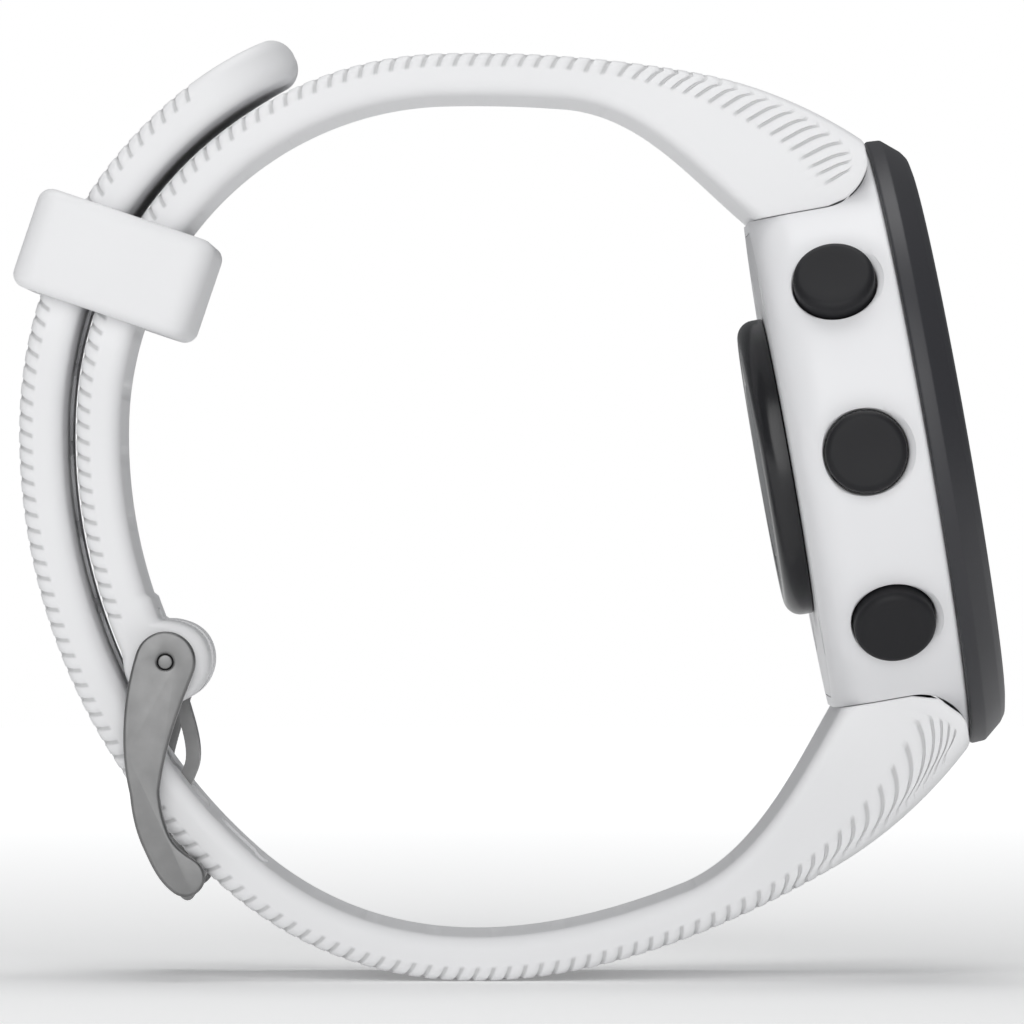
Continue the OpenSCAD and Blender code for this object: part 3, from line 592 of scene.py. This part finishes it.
# %% Turn one cap, copy it four times
CAP_BACK, CAP_FACE, STEM_END = 18.2, 20.15, 14.55
RIM_R = 0.5
rim = [[CAP_R - RIM_R + RIM_R * math.cos(a), CAP_FACE - RIM_R + RIM_R * math.sin(a)]
       for a in np.radians(np.linspace(0, 90, 9))]
cap = lathe([[0, STEM_END], [0.7, STEM_END], [0.8, STEM_END + 0.1], [0.8, 14.78], [0.56, 14.8], [0.56, 15.2],
             [0.8, 15.22], [0.8, CAP_BACK], [CAP_R - 0.1, CAP_BACK], [CAP_R, CAP_BACK + 0.1], *rim,
             [1.6, CAP_FACE - 0.02], [0, CAP_FACE - 0.05]], steps=96)
caps = [cap]
for _ in range(4):
    alone(cap)
    bpy.ops.object.duplicate()
    caps.append(bpy.context.object)
for (button, angle), piece in zip(BUTTONS.items(), caps):
    settle(piece, f"{button}_cap", f"{button}_button", f"{button}_button_cap", "button_black",
           button_bench(angle))

# %% [markdown]
# ## The band's path
#
# The fastened band is a loop in the side view, made of arcs and one smooth curve. The same legs
# as the CAD's are walked here in small steps, so any point of a strap is found from two numbers:
# how far along the band it is from the case, and how deep it lies under the outer surface.

# %% Walk the two straps' outer surfaces
def arc_leg(pose, radius, turn, gap=0.05):
    """Poses [x, z, heading] along a left-hand arc, headings in degrees."""
    n = max(2, round(math.radians(turn) * radius / gap))
    out = []
    for i in range(n + 1):
        h0, h1 = math.radians(pose[2]), math.radians(pose[2] + turn * i / n)
        out.append((pose[0] + radius * (math.sin(h1) - math.sin(h0)),
                    pose[1] - radius * (math.cos(h1) - math.cos(h0)), pose[2] + turn * i / n))
    return out


def heading(angle):
    return np.array((math.cos(math.radians(angle)), math.sin(math.radians(angle))))


def smooth_leg(start, end, a, b, n=500):
    """Poses along a smooth curve that leaves start and reaches end at their headings."""
    p0, p3 = np.array(start[:2]), np.array(end[:2])
    p1, p2 = p0 + a * heading(start[2]), p3 - b * heading(end[2])
    out = []
    for i in range(n + 1):
        t, u = i / n, 1 - i / n
        at = u ** 3 * p0 + 3 * u * u * t * p1 + 3 * u * t * t * p2 + t ** 3 * p3
        go = u * u * (p1 - p0) + 2 * u * t * (p2 - p1) + t * t * (p3 - p2)
        turn = math.degrees(math.atan2(go[1], go[0]))
        out.append((at[0], at[1], turn + 360 * round((start[2] - turn) / 360)))
    return out


def walk(pose, legs):
    path = [pose]
    for radius, turn in legs:
        path += arc_leg(path[-1], radius, turn)[1:]
    return path


def straight(pose, length, n=60):
    return [(*(np.array(pose[:2]) + length * i / n * heading(pose[2])), pose[2]) for i in range(1, n + 1)]


def lengths(path):
    points = np.array(path)[:, :2]
    return np.concatenate([[0], np.cumsum(np.hypot(*np.diff(points, axis=0).T))])


STRAP_T, STRAP_HALF, BOSS_R = 2.8, 9.0, 2.75
upper_path = walk((6.2007, 21.0973, 146), [(28, 24), (80, 11.5), (24, 86.5), (35, 28.4)])
PIN_D = lengths(upper_path)[-1]
end = upper_path[-1]
upper_path += straight(end, 4)
tail = walk((-32.073, 27.507, 206), [(27.65, 62), (38.65, 50)])
bottom = smooth_leg(tail[-1], (4.390, -25.495, 390), 14.5, 16)
lower_path = tail + bottom[1:] + arc_leg((4.390, -25.495, 390), 28, 24)[1:]
TAIL_D = lengths(lower_path)[-1]
start = lower_path[0]
lower_path = [(*(np.array(start[:2]) - 3 * (1 - i / 40) * heading(start[2])), start[2])
              for i in range(40)] + lower_path
print(f"upper strap {PIN_D:.1f} mm to its pin, lower strap {TAIL_D:.1f} mm to its tip")

# %% [markdown]
# ## The shoulders
#
# Near the case each strap grows from a thin band into a broad shoulder that fits the seat.
# In the side view a shoulder is a patch with four curved edges: the outer surface, the inner
# surface, the seat line and the band's own section. Blending the four edges, as a Coons patch
# does, fills the patch with a smooth grid, and the grooves then follow the shoulder's form.

# %% Find any point of a strap from its distance and depth
def case_point(x, z):
    return (z * math.cos(LEAN) - x * math.sin(LEAN), z * math.sin(LEAN) + x * math.cos(LEAN))


def evenly(points, n):
    points = np.array(points, float)[:, :2]
    run = lengths(points)
    at = np.linspace(0, run[-1], n)
    return np.stack([np.interp(at, run, points[:, k]) for k in (0, 1)], 1)


def make_strap(path, side, blend_d, corner):
    """side is 1 for the upper strap, whose path starts at the case, and -1 for the lower one."""
    run = lengths(path)
    poses = np.array(path)
    reach = run if side > 0 else run[-1] - run
    order = slice(None, None, side)
    d, poses = reach[order], poses[order]
    near = d <= blend_d
    outer = evenly(poses[near], 201)
    join_pose = poses[near][-1]
    normal = np.array((-math.sin(math.radians(join_pose[2])), math.cos(math.radians(join_pose[2]))))
    inner_end = join_pose[:2] + STRAP_T * normal
    if side > 0:
        inner = smooth_leg(corner, (*inner_end, join_pose[2]), 5, 5)
    else:
        inner = smooth_leg((*inner_end, join_pose[2]), corner, 5, 5)[::-1]
    inner = evenly(inner, 201)
    seat = evenly([case_point(side * x, z) for x, z in
                   [[19.7, 9.77], [19.4, 9.9]] + seat_line(0.05)[:0:-1] + [[SEAT_X + 0.05, 2.2]]], 101)
    section = evenly([outer[-1], inner[-1]], 101)
    u, v = np.linspace(0, 1, 201)[:, None, None], np.linspace(0, 1, 101)[None, :, None]
    corners = ((1 - u) * (1 - v) * outer[0] + u * (1 - v) * outer[-1]
               + (1 - u) * v * inner[0] + u * v * inner[-1])
    grid = ((1 - v) * outer[:, None] + v * inner[:, None] + (1 - u) * seat[None] + u * section[None]
            - corners)
    deep = np.hypot(*np.moveaxis(np.diff(grid, axis=1), 2, 0)).sum(1)
    return {"side": side, "blend": blend_d, "grid": grid, "deep": deep, "d": d, "poses": poses}


def thickness(strap, d):
    blended = np.interp(d / strap["blend"] * 200, np.arange(201), strap["deep"])
    return np.where(d < strap["blend"], blended, STRAP_T)


def locate(strap, d, a):
    """The [x, z] of points at distance d from the case and depth a, in mm."""
    d, a = np.broadcast_arrays(np.asarray(d, float), np.asarray(a, float))
    x, z, h = (np.interp(d, strap["d"], strap["poses"][:, k]) for k in (0, 1, 2))
    h = np.radians(h)
    out = np.stack([x - a * np.sin(h), z + a * np.cos(h)], -1)
    near = d < strap["blend"]
    row = np.clip(d[near] / strap["blend"] * 200, 0, 199.999)
    col = a[near] / thickness(strap, d[near]) * 100
    i, j = row.astype(int), np.clip(col.astype(int), 0, 99)
    f, g = (row - i)[:, None], (col - j)[:, None]
    grid = strap["grid"]
    out[near] = ((1 - f) * (1 - g) * grid[i, j] + f * (1 - g) * grid[i + 1, j]
                 + (1 - f) * g * grid[i, j + 1] + f * g * grid[i + 1, j + 1])
    return out


upper = make_strap(upper_path, 1, 19.73, (-0.589, 16.010, 140))
lower = make_strap(lower_path, -1, 21.05, (4.922, -15.246, 60 + 360))
print("thickness at the seat:", upper["deep"][0].round(2), lower["deep"][0].round(2))

# %% [markdown]
# ## Grooves
#
# Fine curved grooves run along both edges of the band. On the band they are short hooks about a
# millimetre apart; on the shoulders they grow into long arcs that fan out from the edge.
# A bump map could draw them, but they break the outline, so they are real. The mesh lines
# themselves lean along the grooves: each groove is given by its outer end and its deep end, and
# five mesh lines per groove take turns between groove and land.

# %% Places of the grooves
# each row: distance and depth of the outer end, then of the deep end, in mm
UPPER_FAN = [(0.95, 2.61, 1.58, 4.03), (1.08, 2.11, 2.37, 3.82), (1.30, 1.69, 3.06, 3.62),
             (1.85, 1.27, 3.85, 3.32), (2.66, 1.10, 4.74, 3.09), (3.40, 0.92, 5.52, 2.80),
             (4.10, 0.80, 6.31, 2.60), (5.03, 0.70, 7.20, 2.39), (5.92, 0.63, 7.99, 2.20),
             (6.91, 0.55, 8.88, 2.00), (7.89, 0.50, 9.77, 1.80), (8.95, 0.46, 10.66, 1.64),
             (9.95, 0.42, 11.54, 1.46), (10.95, 0.38, 12.33, 1.34), (11.90, 0.34, 13.12, 1.20),
             (12.85, 0.28, 13.91, 1.10), (13.80, 0.22, 14.75, 1.00), (14.78, 0.16, 15.60, 0.92),
             (15.80, 0.08, 16.50, 0.86)]
LOWER_FAN = [(2.60, 1.20, 0.85, 1.90), (3.50, 1.10, 0.95, 2.45), (4.30, 1.00, 1.05, 3.05),
             (5.10, 0.95, 1.22, 3.71), (5.80, 0.85, 1.85, 4.14), (6.65, 0.75, 3.58, 3.57),
             (7.65, 0.65, 5.26, 3.06), (8.74, 0.56, 6.74, 2.60), (9.90, 0.52, 8.11, 2.33),
             (10.95, 0.48, 9.37, 2.01), (11.90, 0.45, 10.53, 1.73), (12.80, 0.40, 11.68, 1.46),
             (13.70, 0.32, 12.74, 1.29), (14.60, 0.24, 13.79, 1.12), (15.45, 0.16, 14.77, 1.00),
             (16.40, 0.08, 15.80, 0.92)]


def grooves_of(fan, last, pitch, lean):
    rows, d = list(fan), fan[-1][2]
    while d + pitch < last:
        d += pitch
        rows.append((d - lean, 0.0, d, 0.85))
    return np.array(rows)


def mesh_lines(rows, before, after):
    """Five lines for each groove, with the plain lines before and after them: d0, a0, d1, a1, cut."""
    out = [(*q, rows[0][1], q[-1], rows[0][3], 0) if len(q) == 1 else (q[0], rows[0][1], q[1], rows[0][3], 0)
           for q in before]
    for k, row in enumerate(rows):
        for offset, cut in ((-0.19, 0), (-0.075, 1), (0.075, 1), (0.19, 0), (0.5, 0)):
            other = rows[min(max(k + (1 if offset > 0 else -1), 0), len(rows) - 1)]
            if k == 0 and offset < 0:
                other = 2 * row - rows[1]
            if k == len(rows) - 1 and offset > 0:
                other = 2 * row - rows[k - 1]
            out.append((*(row + abs(offset) * (other - row)), cut))
    return np.array(out + [(d, 0.0, d, 0.85, 0) for d in after])


upper_rows = grooves_of(UPPER_FAN, PIN_D - BOSS_R - 0.9, 1.05, 0.45)
lower_rows = grooves_of(LOWER_FAN, TAIL_D - 5.4, 1.05, -0.45)
upper_lines = mesh_lines(upper_rows, [(0, 0), (0.04, 0.04), (0.14, 0.16), (0.5, 0.75)],
                         [*np.arange(PIN_D - BOSS_R - 0.2, PIN_D + 2.0, 0.22), PIN_D + 2.2, PIN_D + 2.38,
                          PIN_D + 2.52, PIN_D + 2.62, PIN_D + 2.7, PIN_D + 2.74])
lower_lines = mesh_lines(lower_rows, [(0, 0), (0.04, 0.04), (0.14, 0.14), (0.7, 0.3), (1.3, 0.45),
                                      (1.95, 0.62)],
                         [*np.arange(TAIL_D - 4.6, TAIL_D + 0.9, 0.2), TAIL_D + 1.0, TAIL_D + 1.12,
                          TAIL_D + 1.22, TAIL_D + 1.3, TAIL_D + 1.36, TAIL_D + 1.39])
print(len(upper_rows), "and", len(lower_rows), "grooves along each edge")

# %% [markdown]
# ## Moulding the straps
#
# Each strap starts as a flat grid, one row of points per mesh line and one column per step round
# the cross-section, which is wide and flat with a small outer and a larger inner corner.
# Then every point is moved to its place, as a sheet is wrapped round a form.

# %% Wrap a grid into a strap
def ramp(x):
    x = np.clip(x, 0, 1)
    return x * x * (3 - 2 * x)


def soft_max(a, b, k):
    h = np.clip(k - abs(a - b), 0, None) / k
    return np.maximum(a, b) + h * h * k / 4


NO_LIMIT = 99.0


def limits(strap, d):
    """Depth of the outer and the inner surface, and the half width that the band's end allows."""
    top, low = np.zeros_like(d), thickness(strap, d)
    width = np.full_like(d, NO_LIMIT)
    if strap["side"] > 0:
        x = PIN_D - d
        boss = np.sqrt(np.clip(BOSS_R ** 2 - x * x, 1e-4, None))
        mid = BOSS_R - 0.4
        on_band = x > 0
        top = np.where(on_band, -soft_max(0, boss - mid, 0.35) * (abs(x) < BOSS_R), mid - boss)
        swollen = np.where(x < 4.5, soft_max(low, mid + boss * (abs(x) < BOSS_R), 1.6), low)
        low = np.where(on_band, swollen, mid + boss)
        rounding = np.sqrt(np.clip(0.3 - (x + 2.2) ** 2, 0, None)) * 0.9
        width = np.where(x < -2.2, STRAP_HALF - 0.5 + rounding, NO_LIMIT)
    else:
        past = d - TAIL_D
        tip_r = STRAP_T / 2
        half = np.sqrt(np.clip(tip_r ** 2 - np.clip(past, 0, None) ** 2, 1e-4, None))
        top, low = np.where(past > 0, tip_r - half, top), np.where(past > 0, tip_r + half, low)
        from_tip = np.clip((tip_r - past) / 8, 0.004, 1)
        width = np.where(from_tip < 1, STRAP_HALF * (1 - (1 - from_tip) ** 2.4) ** (1 / 2.4), NO_LIMIT)
    return top, low, width


def half_width(strap, at, d):
    """Half the width of a strap, from how far the point is from the case's middle."""
    x = strap["side"] * (at[..., 1] * math.cos(LEAN) - at[..., 0] * math.sin(LEAN))
    t = np.maximum(np.clip((x - 16.2) / 10.6, 0, 1), ramp((d - 16) / 12))
    return STRAP_HALF + 2.25 * (1 - ramp(t ** 0.85))


GROOVE_DEPTH, RIB_DEPTH, RIB_PITCH = 0.13, 0.12, 4.6
INNER_CROWN, LAP_START = 0.22, 58


def wrap(strap, lines, name, edge_r, seat_edge_r):
    n = len(lines)
    d0, a0, d1, a1, cut = lines.T[:, :, None]
    top, low, widest = limits(strap, d1)
    inset = np.zeros((n, 1))
    inset[:3, 0] = 0.10, 0.03, 0.0
    top, low = top + inset, low - inset
    room = (low - top) / (STRAP_T * 0.93)
    near = ramp((13 - d1) / 12)
    ro = (edge_r + (seat_edge_r - edge_r) * near) * np.clip(room, 0, 1)
    ri = 1.0 * np.clip(room, 0, 1)
    deep = np.minimum(np.maximum(a1 + 0.3, ro + 0.3), (low - top) - ri - 0.1)
    deep = np.maximum(deep, ro + 0.02)
    cols = []       # depth, distance in from the side, share across the face, normal's depth and side parts
    zero, one = np.zeros((n, 1)), np.ones((n, 1))
    for f in (0, 0.4, 0.8):
        cols.append((top, ro + 1.3, f * one, -one, zero))
    for g in (1, 0.72, 0.46, 0.22, 0):
        cols.append((top, ro + 1.3 * g, one, -one, zero))
    for t in np.radians((15, 32, 50, 70, 90)):
        c, s = math.cos(t), math.sin(t)
        cols.append((top + ro * (1 - c), ro * (1 - s), one, -c * one, s * one))
    for g in np.linspace(0, 1, 11)[1:]:
        cols.append((top + ro + (deep - ro) * g, zero, one, zero, one))
    for g in (0.25, 0.5, 0.75, 1.0):
        cols.append((top + deep + (low - ri - top - deep) * g, zero, one, zero, one))
    for t in np.radians((18, 36, 54, 72, 90)):
        c, s = math.cos(t), math.sin(t)
        cols.append((low - ri + ri * s, ri * (1 - c), one, s * one, c * one))
    for f in (0.8, 0.55, 0.28, 0):
        cols.append((low, ri, f * one, one, zero))
    a, side_in, share, na, ny = (
        np.concatenate([np.broadcast_to(col[k], (n, 1)) for col in cols], 1) for k in range(5))
    q = np.clip((a - a0) / np.maximum(a1 - a0, 0.05), 0, 1)
    curve = 1 - (0.62 * (1 - q) + 0.38 * (1 - q) ** 4)
    d = d0 + (d1 - d0) * curve
    # grooves: full on the side, fading past the deep end and past the outer end
    over = np.clip((0.5 - a0) / 0.2, 0, 1)
    end = 1 - ramp((a - a1 + 0.12) / 0.24)
    begin = over + (1 - over) * ramp((a - a0 + 0.2) / 0.4)
    on_face = 1 - ramp((side_in - ro) / 1.25) * (na < -0.99)
    mask = cut * end * begin * on_face * (share > 0.99)
    inside = (na > 0.99) * (share < 0.9)
    lapped = ramp((d1 - LAP_START) / 15) * (strap["side"] < 0)
    ribs = ramp(1.6 - 2.2 * abs((d1 % RIB_PITCH) - RIB_PITCH / 2)) * (d1 > 16)
    ribs = ribs * ramp((PIN_D - 6 - d1) / 2) * (1 - lapped)
    sunk = GROOVE_DEPTH * mask + RIB_DEPTH * ribs * inside
    at = locate(strap, d, a - na * sunk + INNER_CROWN * inside * lapped)
    wide = np.minimum(half_width(strap, at, d), widest)
    y = np.maximum(wide - side_in - inset - ny * sunk, 0.0)
    flat = (abs(ny) < 1e-6)
    y = np.where(flat, share * np.maximum(wide - side_in - inset, 0.0), y)
    y[:, 0] = y[:, -1] = 0
    m = a.shape[1]
    # both halves of the ring: +y going in, then -y coming back
    ring = list(range(m)) + list(range(m - 2, -1, -1))
    sign = [1] * m + [-1] * (m - 1)
    bpy.ops.mesh.primitive_grid_add(x_subdivisions=len(ring) - 1, y_subdivisions=n - 1, size=1)
    obj = bpy.context.object
    obj.name = name
    points = np.empty((n, len(ring), 3))
    for k, (j, s) in enumerate(zip(ring, sign)):
        points[:, k] = np.stack([at[:, j, 0], s * y[:, j], at[:, j, 1]], 1) * MM
    obj.data.vertices.foreach_set("co", points.reshape(-1))
    # the groove mask also goes on the mesh, where the rubber reads it to paint shade into the grooves
    marks = obj.data.attributes.new("groove", "FLOAT", "POINT")
    marks.data.foreach_set("value", mask[:, ring].reshape(-1))
    # close the two ends with strips across the band, and weld the seam
    solid = bmesh.new()
    solid.from_mesh(obj.data)
    solid.verts.ensure_lookup_table()
    for row in (0, n - 1):
        first = row * len(ring)
        for j in range(m - 1):
            corners = [first + j, first + j + 1, first + len(ring) - 2 - j, first + len(ring) - 1 - j]
            corners = list(dict.fromkeys(c if c != first + len(ring) - 1 else first for c in corners))
            if len(corners) > 2:
                solid.faces.new([solid.verts[c] for c in corners])
    bmesh.ops.remove_doubles(solid, verts=solid.verts, dist=1e-4 * MM)
    bmesh.ops.recalc_face_normals(solid, faces=solid.faces)
    solid.to_mesh(obj.data)
    solid.free()
    print(name, len(obj.data.polygons), "faces")
    return obj


upper_band = wrap(upper, upper_lines, "upper_band", 0.7, 1.1)
lower_band = wrap(lower, lower_lines, "lower_band", 0.7, 1.3)

# %% [markdown]
# ## Holes, slot and pin bore
#
# The nine holes of the tail are rounded slots with a soft lip. One cutter is made from a cube:
# its upright edges are bevelled round, four cuts give it rings, and the outer rings are widened.
# The copies are joined, so the strap is cut once.

# %% Cut the tail's holes
def stand(strap, d):
    """A bench on a strap's outer surface: x along the band, y across it, z inwards."""
    return side_bench(*(float(np.interp(d, strap["d"], strap["poses"][:, k])) for k in (0, 1, 2)))


HOLE_L, HOLE_W, HOLE_PITCH, WORN_HOLE = 3.8, 4.4, 5.6, 57.40
hole = block((HOLE_L, HOLE_W, STRAP_T + 1.8), (0, 0, STRAP_T / 2))
edit(hole, "EDGE", lambda c, n, e: abs(c.z - STRAP_T / 2) < 0.5)
bpy.ops.mesh.bevel(offset=0.8 * MM, segments=6)
leave()
LIP = 0.28
for depth in (0.0, 0.10, LIP, STRAP_T - LIP, STRAP_T - 0.10, STRAP_T):
    edit(hole)
    bpy.ops.mesh.bisect(plane_co=(0, 0, depth * MM), plane_no=(0, 0, 1))
    leave()
for v in hole.data.vertices:
    edge = min(v.co.z / MM, STRAP_T - v.co.z / MM)
    grow = 1 + 0.14 * max(0, 1 - max(edge, 0) / LIP) ** 2
    v.co.x, v.co.y = v.co.x * grow, v.co.y * grow
holes = [hole]
for i in range(1, 9):
    alone(hole)
    bpy.ops.object.duplicate()
    holes.append(bpy.context.object)
for i, piece in enumerate(holes):
    piece.matrix_world = stand(lower, TAIL_D - (WORN_HOLE + (1 - i) * HOLE_PITCH))
carve(lower_band, fuse(holes), solver="MANIFOLD")
settle(lower_band, "lower_band", "case", "lower_strap", "white_silicone", smooth=50, outward=False)

# %% Cut the slot for the tongue and the pin's bore
PIN = Vector((-38.204, 0, -12.246))


def rod(radius, length, at, vertices=48):
    bpy.ops.mesh.primitive_cylinder_add(vertices=vertices, radius=radius * MM, depth=length * MM,
                                        location=at * MM, rotation=(math.radians(90), 0, 0))
    return bpy.context.object


for radius, width in ((3.45, 4.2), (0.66, 30)):
    carve(upper_band, rod(radius, width, PIN, 96), solver="MANIFOLD")
settle(upper_band, "upper_band", "case", "upper_strap", "white_silicone", smooth=50, outward=False)

# %% [markdown]
# ## Keeper
#
# The loose loop that holds the tail down is a soft rounded tube of the same rubber. It starts as
# a cube: first its four long edges are rounded, then the rims of its ends, and a rounded box is
# carved out of it. It slides along the band on its own body.

# %% Keeper loop
def rounded_box(size, long_round, rim_round):
    obj = block(size)
    edit(obj, "EDGE", lambda c, n, e: abs(c.x) < 0.01)
    bpy.ops.mesh.bevel(offset=long_round * MM, segments=8)
    leave()
    if rim_round:
        edit(obj, "FACE", lambda c, n, f: abs(n.x) > 0.99)
        bpy.ops.mesh.region_to_loop()
        bpy.ops.mesh.bevel(offset=rim_round * MM, segments=6)
        leave()
    return obj


KEEPER_L, KEEPER_HIGH, KEEPER_WIDE, KEEPER_T = 6.6, 11.85, 21.5, 1.45
keeper = rounded_box((KEEPER_L, KEEPER_WIDE, KEEPER_HIGH), 1.6, 0.9)
tunnel = rounded_box((KEEPER_L + 4, KEEPER_WIDE - 2 * KEEPER_T, KEEPER_HIGH - 2 * KEEPER_T), 0.8, 0)
for offset in (-KEEPER_L / 2, -KEEPER_L / 2 + 0.35, KEEPER_L / 2 - 0.35, KEEPER_L / 2):
    edit(tunnel)
    bpy.ops.mesh.bisect(plane_co=(offset * MM, 0, 0), plane_no=(1, 0, 0))
    leave()
for v in tunnel.data.vertices:
    if abs(v.co.x) > (KEEPER_L / 2 - 0.1) * MM:
        v.co.y *= 1 + 0.3 / 9.3
        v.co.z *= 1 + 0.3 / 4.5
carve(keeper, tunnel)
keeper_bench = side_bench(-41.523, 13.176, 251.3)
settle(keeper, "keeper", "keeper", "keeper_loop", "white_silicone", keeper_bench, smooth=40)

# %% [markdown]
# ## Buckle
#
# The buckle is bent and pressed from steel: two curved side plates with a round head on the pin,
# a bar across their front, and a tongue that passes through the worn hole and lies on the bar.
# Each side plate is a line with a changing width, so its outline is worked out along that line,
# filled, extruded to the plate's thickness and given a bevel that catches the light.

# %% Side plates and bar
def beside(pose, distance):
    h = math.radians(pose[2])
    return [pose[0] - distance * math.sin(h), pose[1] + distance * math.cos(h)]


def arc_points(centre, radius, first, last, n):
    return [[centre[0] + radius * math.cos(math.radians(a)), centre[1] + radius * math.sin(math.radians(a))]
            for a in np.linspace(first, last, n)]


SIDE_CENTRE, BAR_OUT, BAR_ANGLE = (-8.959, 2.271), 39.75, 225.3
BAR = (-36.919, -25.983)
PLATE_IN, PLATE_T, HEAD_R, BAR_R = 9.25, 1.5, 1.93, 0.95
line = smooth_leg((PIN.x, PIN.z, 250), (*BAR, 325), 4.85, 4.5, n=48)


def plate_half(t):
    neck = 0.93 + (HEAD_R - 0.93) * (1 - min(1, t / 0.55) ** 1.5)
    return neck + (1.25 - neck) * float(ramp((t - 0.78) / 0.22))


share = np.linspace(0, 1, len(line))
outline = ([beside(q, plate_half(t)) for q, t in zip(line, share)]
           + arc_points(BAR, 1.25, 325 + 90, 325 - 90, 17)[1:-1]
           + [beside(q, -plate_half(t)) for q, t in zip(line[::-1], share[::-1])]
           + arc_points((PIN.x, PIN.z), HEAD_R, 250 - 90, 250 - 270, 25)[1:-1])
plates = []
for side in (1, -1):
    plate = slab(outline, PLATE_T, Matrix.Translation((0, side * (PLATE_IN + PLATE_T / 2) * MM, 0)))
    carve(plate, rod(0.50, 30, PIN))
    soften(plate, 0.2, segments=4, angle=50)
    plates.append(plate)
bar = rod(BAR_R, 2 * PLATE_IN + 0.8, Vector((BAR[0], 0, BAR[1])), 64)
seat = block((3, 4.2, 6), (BAR_OUT + BAR_R - 0.55 + 1.5, 0, 0))
seat.matrix_world = side_bench(*SIDE_CENTRE, BAR_ANGLE)
carve(bar, seat)
soften(bar, 0.08, segments=2)
settle(fuse(plates + [bar]), "buckle_loop", "buckle", "buckle_frame", "steel", smooth=30)

# %% Pin and tongue
pin = rod(0.47, 2 * (PLATE_IN + PLATE_T) - 0.12, PIN)
soften(pin, 0.1, segments=3)
settle(pin, "buckle_pivot_pin", "buckle", "buckle_pin", "steel")

TAIL_R, TONGUE_T, TONGUE_W, WORN_ANGLE = 38.65, 0.9, 3.4, 219.4


def around(radius, angle, turn):
    a = math.radians(angle)
    return (SIDE_CENTRE[0] + radius * math.cos(a), SIDE_CENTRE[1] + radius * math.sin(a), turn)


def onward(pose, distance):
    return (*(np.array(pose[:2]) + distance * heading(pose[2])), pose[2])


cross = around(TAIL_R - STRAP_T / 2, WORN_ANGLE, WORN_ANGLE + 28)
tip = around(BAR_OUT + BAR_R - 0.35 + TONGUE_T / 2, BAR_ANGLE + 1.2, BAR_ANGLE + 91)
tongue_line = (smooth_leg((PIN.x, PIN.z, 283), onward(cross, -STRAP_T / 2 - 0.9), 3, 1.6, n=16)
               + smooth_leg(onward(cross, STRAP_T / 2 + 0.9), tip, 1.4, 1.6, n=16))
outline = ([beside(q, TONGUE_T / 2) for q in tongue_line]
           + arc_points(tip[:2], TONGUE_T / 2, tip[2] + 90, tip[2] - 90, 9)[1:-1]
           + [beside(q, -TONGUE_T / 2) for q in tongue_line[::-1]])
tongue = slab(outline, TONGUE_W)
eye = rod(1.5, TONGUE_W, PIN)
carve(tongue, eye, "UNION")
carve(tongue, rod(0.65, 10, PIN))
soften(tongue, 0.12, segments=3, angle=40)
settle(tongue, "buckle_tang", "tongue", "buckle_tongue", "steel", smooth=35)

# %% [markdown]
# ## Floor, light and camera
#
# The watch stands on a pale floor in front of a white backdrop. A large soft light stands beside
# the camera, so that the faces towards us are brightest and every edge rolls off into grey.
# A second soft light above the floor draws the thin shadow under the band.

# %% Floor
FLOOR_Z = -32.68
bpy.ops.mesh.primitive_plane_add(size=1.6, location=(0, 0, (FLOOR_Z - 0.01) * MM))
floor = bpy.context.object
floor.name = "floor"
paper = bpy.data.materials.new("paper")
paper.use_nodes = True
sheet = paper.node_tree.nodes["Principled BSDF"]
sheet.inputs["Base Color"].default_value = (0.9, 0.9, 0.9, 1)
sheet.inputs["Roughness"].default_value = 0.9
sheet.inputs["Emission Color"].default_value = (1, 1, 1, 1)
# painted light: the floor glows, weakly under the watch and more with distance, so the far floor is white
# while the shadow under the band still shows
place, reach, glow = (add(paper.node_tree, k) for k in ("TexCoord", "VectorMath", "MapRange"))
reach.operation = "LENGTH"
for socket, value in (("From Min", 0.04), ("From Max", 0.5), ("To Min", 0.12), ("To Max", 0.75)):
    glow.inputs[socket].default_value = value
join(paper.node_tree, place, "Object", reach, 0)
join(paper.node_tree, reach, "Value", glow, "Value")
join(paper.node_tree, glow, 0, sheet, "Emission Strength")
floor.data.materials.append(paper)

# %% Light
world = bpy.data.worlds.new("studio")
world.use_nodes = True
sky = world.node_tree
for node in list(sky.nodes):
    sky.nodes.remove(node)
seen, around_us, backdrop, choose, out = (add(sky, k) for k in (
    "LightPath", "Background", "Background", "MixShader", "OutputWorld"))
around_us.inputs["Color"].default_value = (0.96, 0.98, 1.0, 1)
around_us.inputs["Strength"].default_value = 0.21
backdrop.inputs["Color"].default_value = (1, 1, 1, 1)
backdrop.inputs["Strength"].default_value = 1.0
join(sky, seen, "Is Camera Ray", choose, 0)
join(sky, around_us, 0, choose, 1)
join(sky, backdrop, 0, choose, 2)
join(sky, choose, 0, out, 0)
bpy.context.scene.world = world


def soft_light(name, place, target, size, power):
    data = bpy.data.lights.new(name, "AREA")
    data.shape, data.size, data.energy = "DISK", size, power
    lamp = bpy.data.objects.new(name, data)
    bpy.context.scene.collection.objects.link(lamp)
    lamp.location = place
    lamp.rotation_euler = (Vector(target) - Vector(place)).to_track_quat("-Z", "Y").to_euler()
    return lamp


soft_light("front_softbox", (-0.10, -1.15, 0.45), (-0.016, 0, 0), 1.3, 9.2)
soft_light("top_softbox", (-0.02, 0.05, 0.6), (-0.016, 0, -0.03), 0.5, 1.6)

# %% Camera
camera_data = bpy.data.cameras.new("camera")
camera = bpy.data.objects.new("camera", camera_data)
bpy.context.scene.collection.objects.link(camera)
camera.location = (-16.09 * MM, -700 * MM, -2.69 * MM)
camera.rotation_euler = (math.radians(90), 0, 0)
camera_data.sensor_width, camera_data.lens = 36, 380.2
camera_data.clip_start, camera_data.clip_end = 0.05, 10
bpy.context.scene.camera = camera
bpy.context.scene.view_settings.view_transform = "Standard"
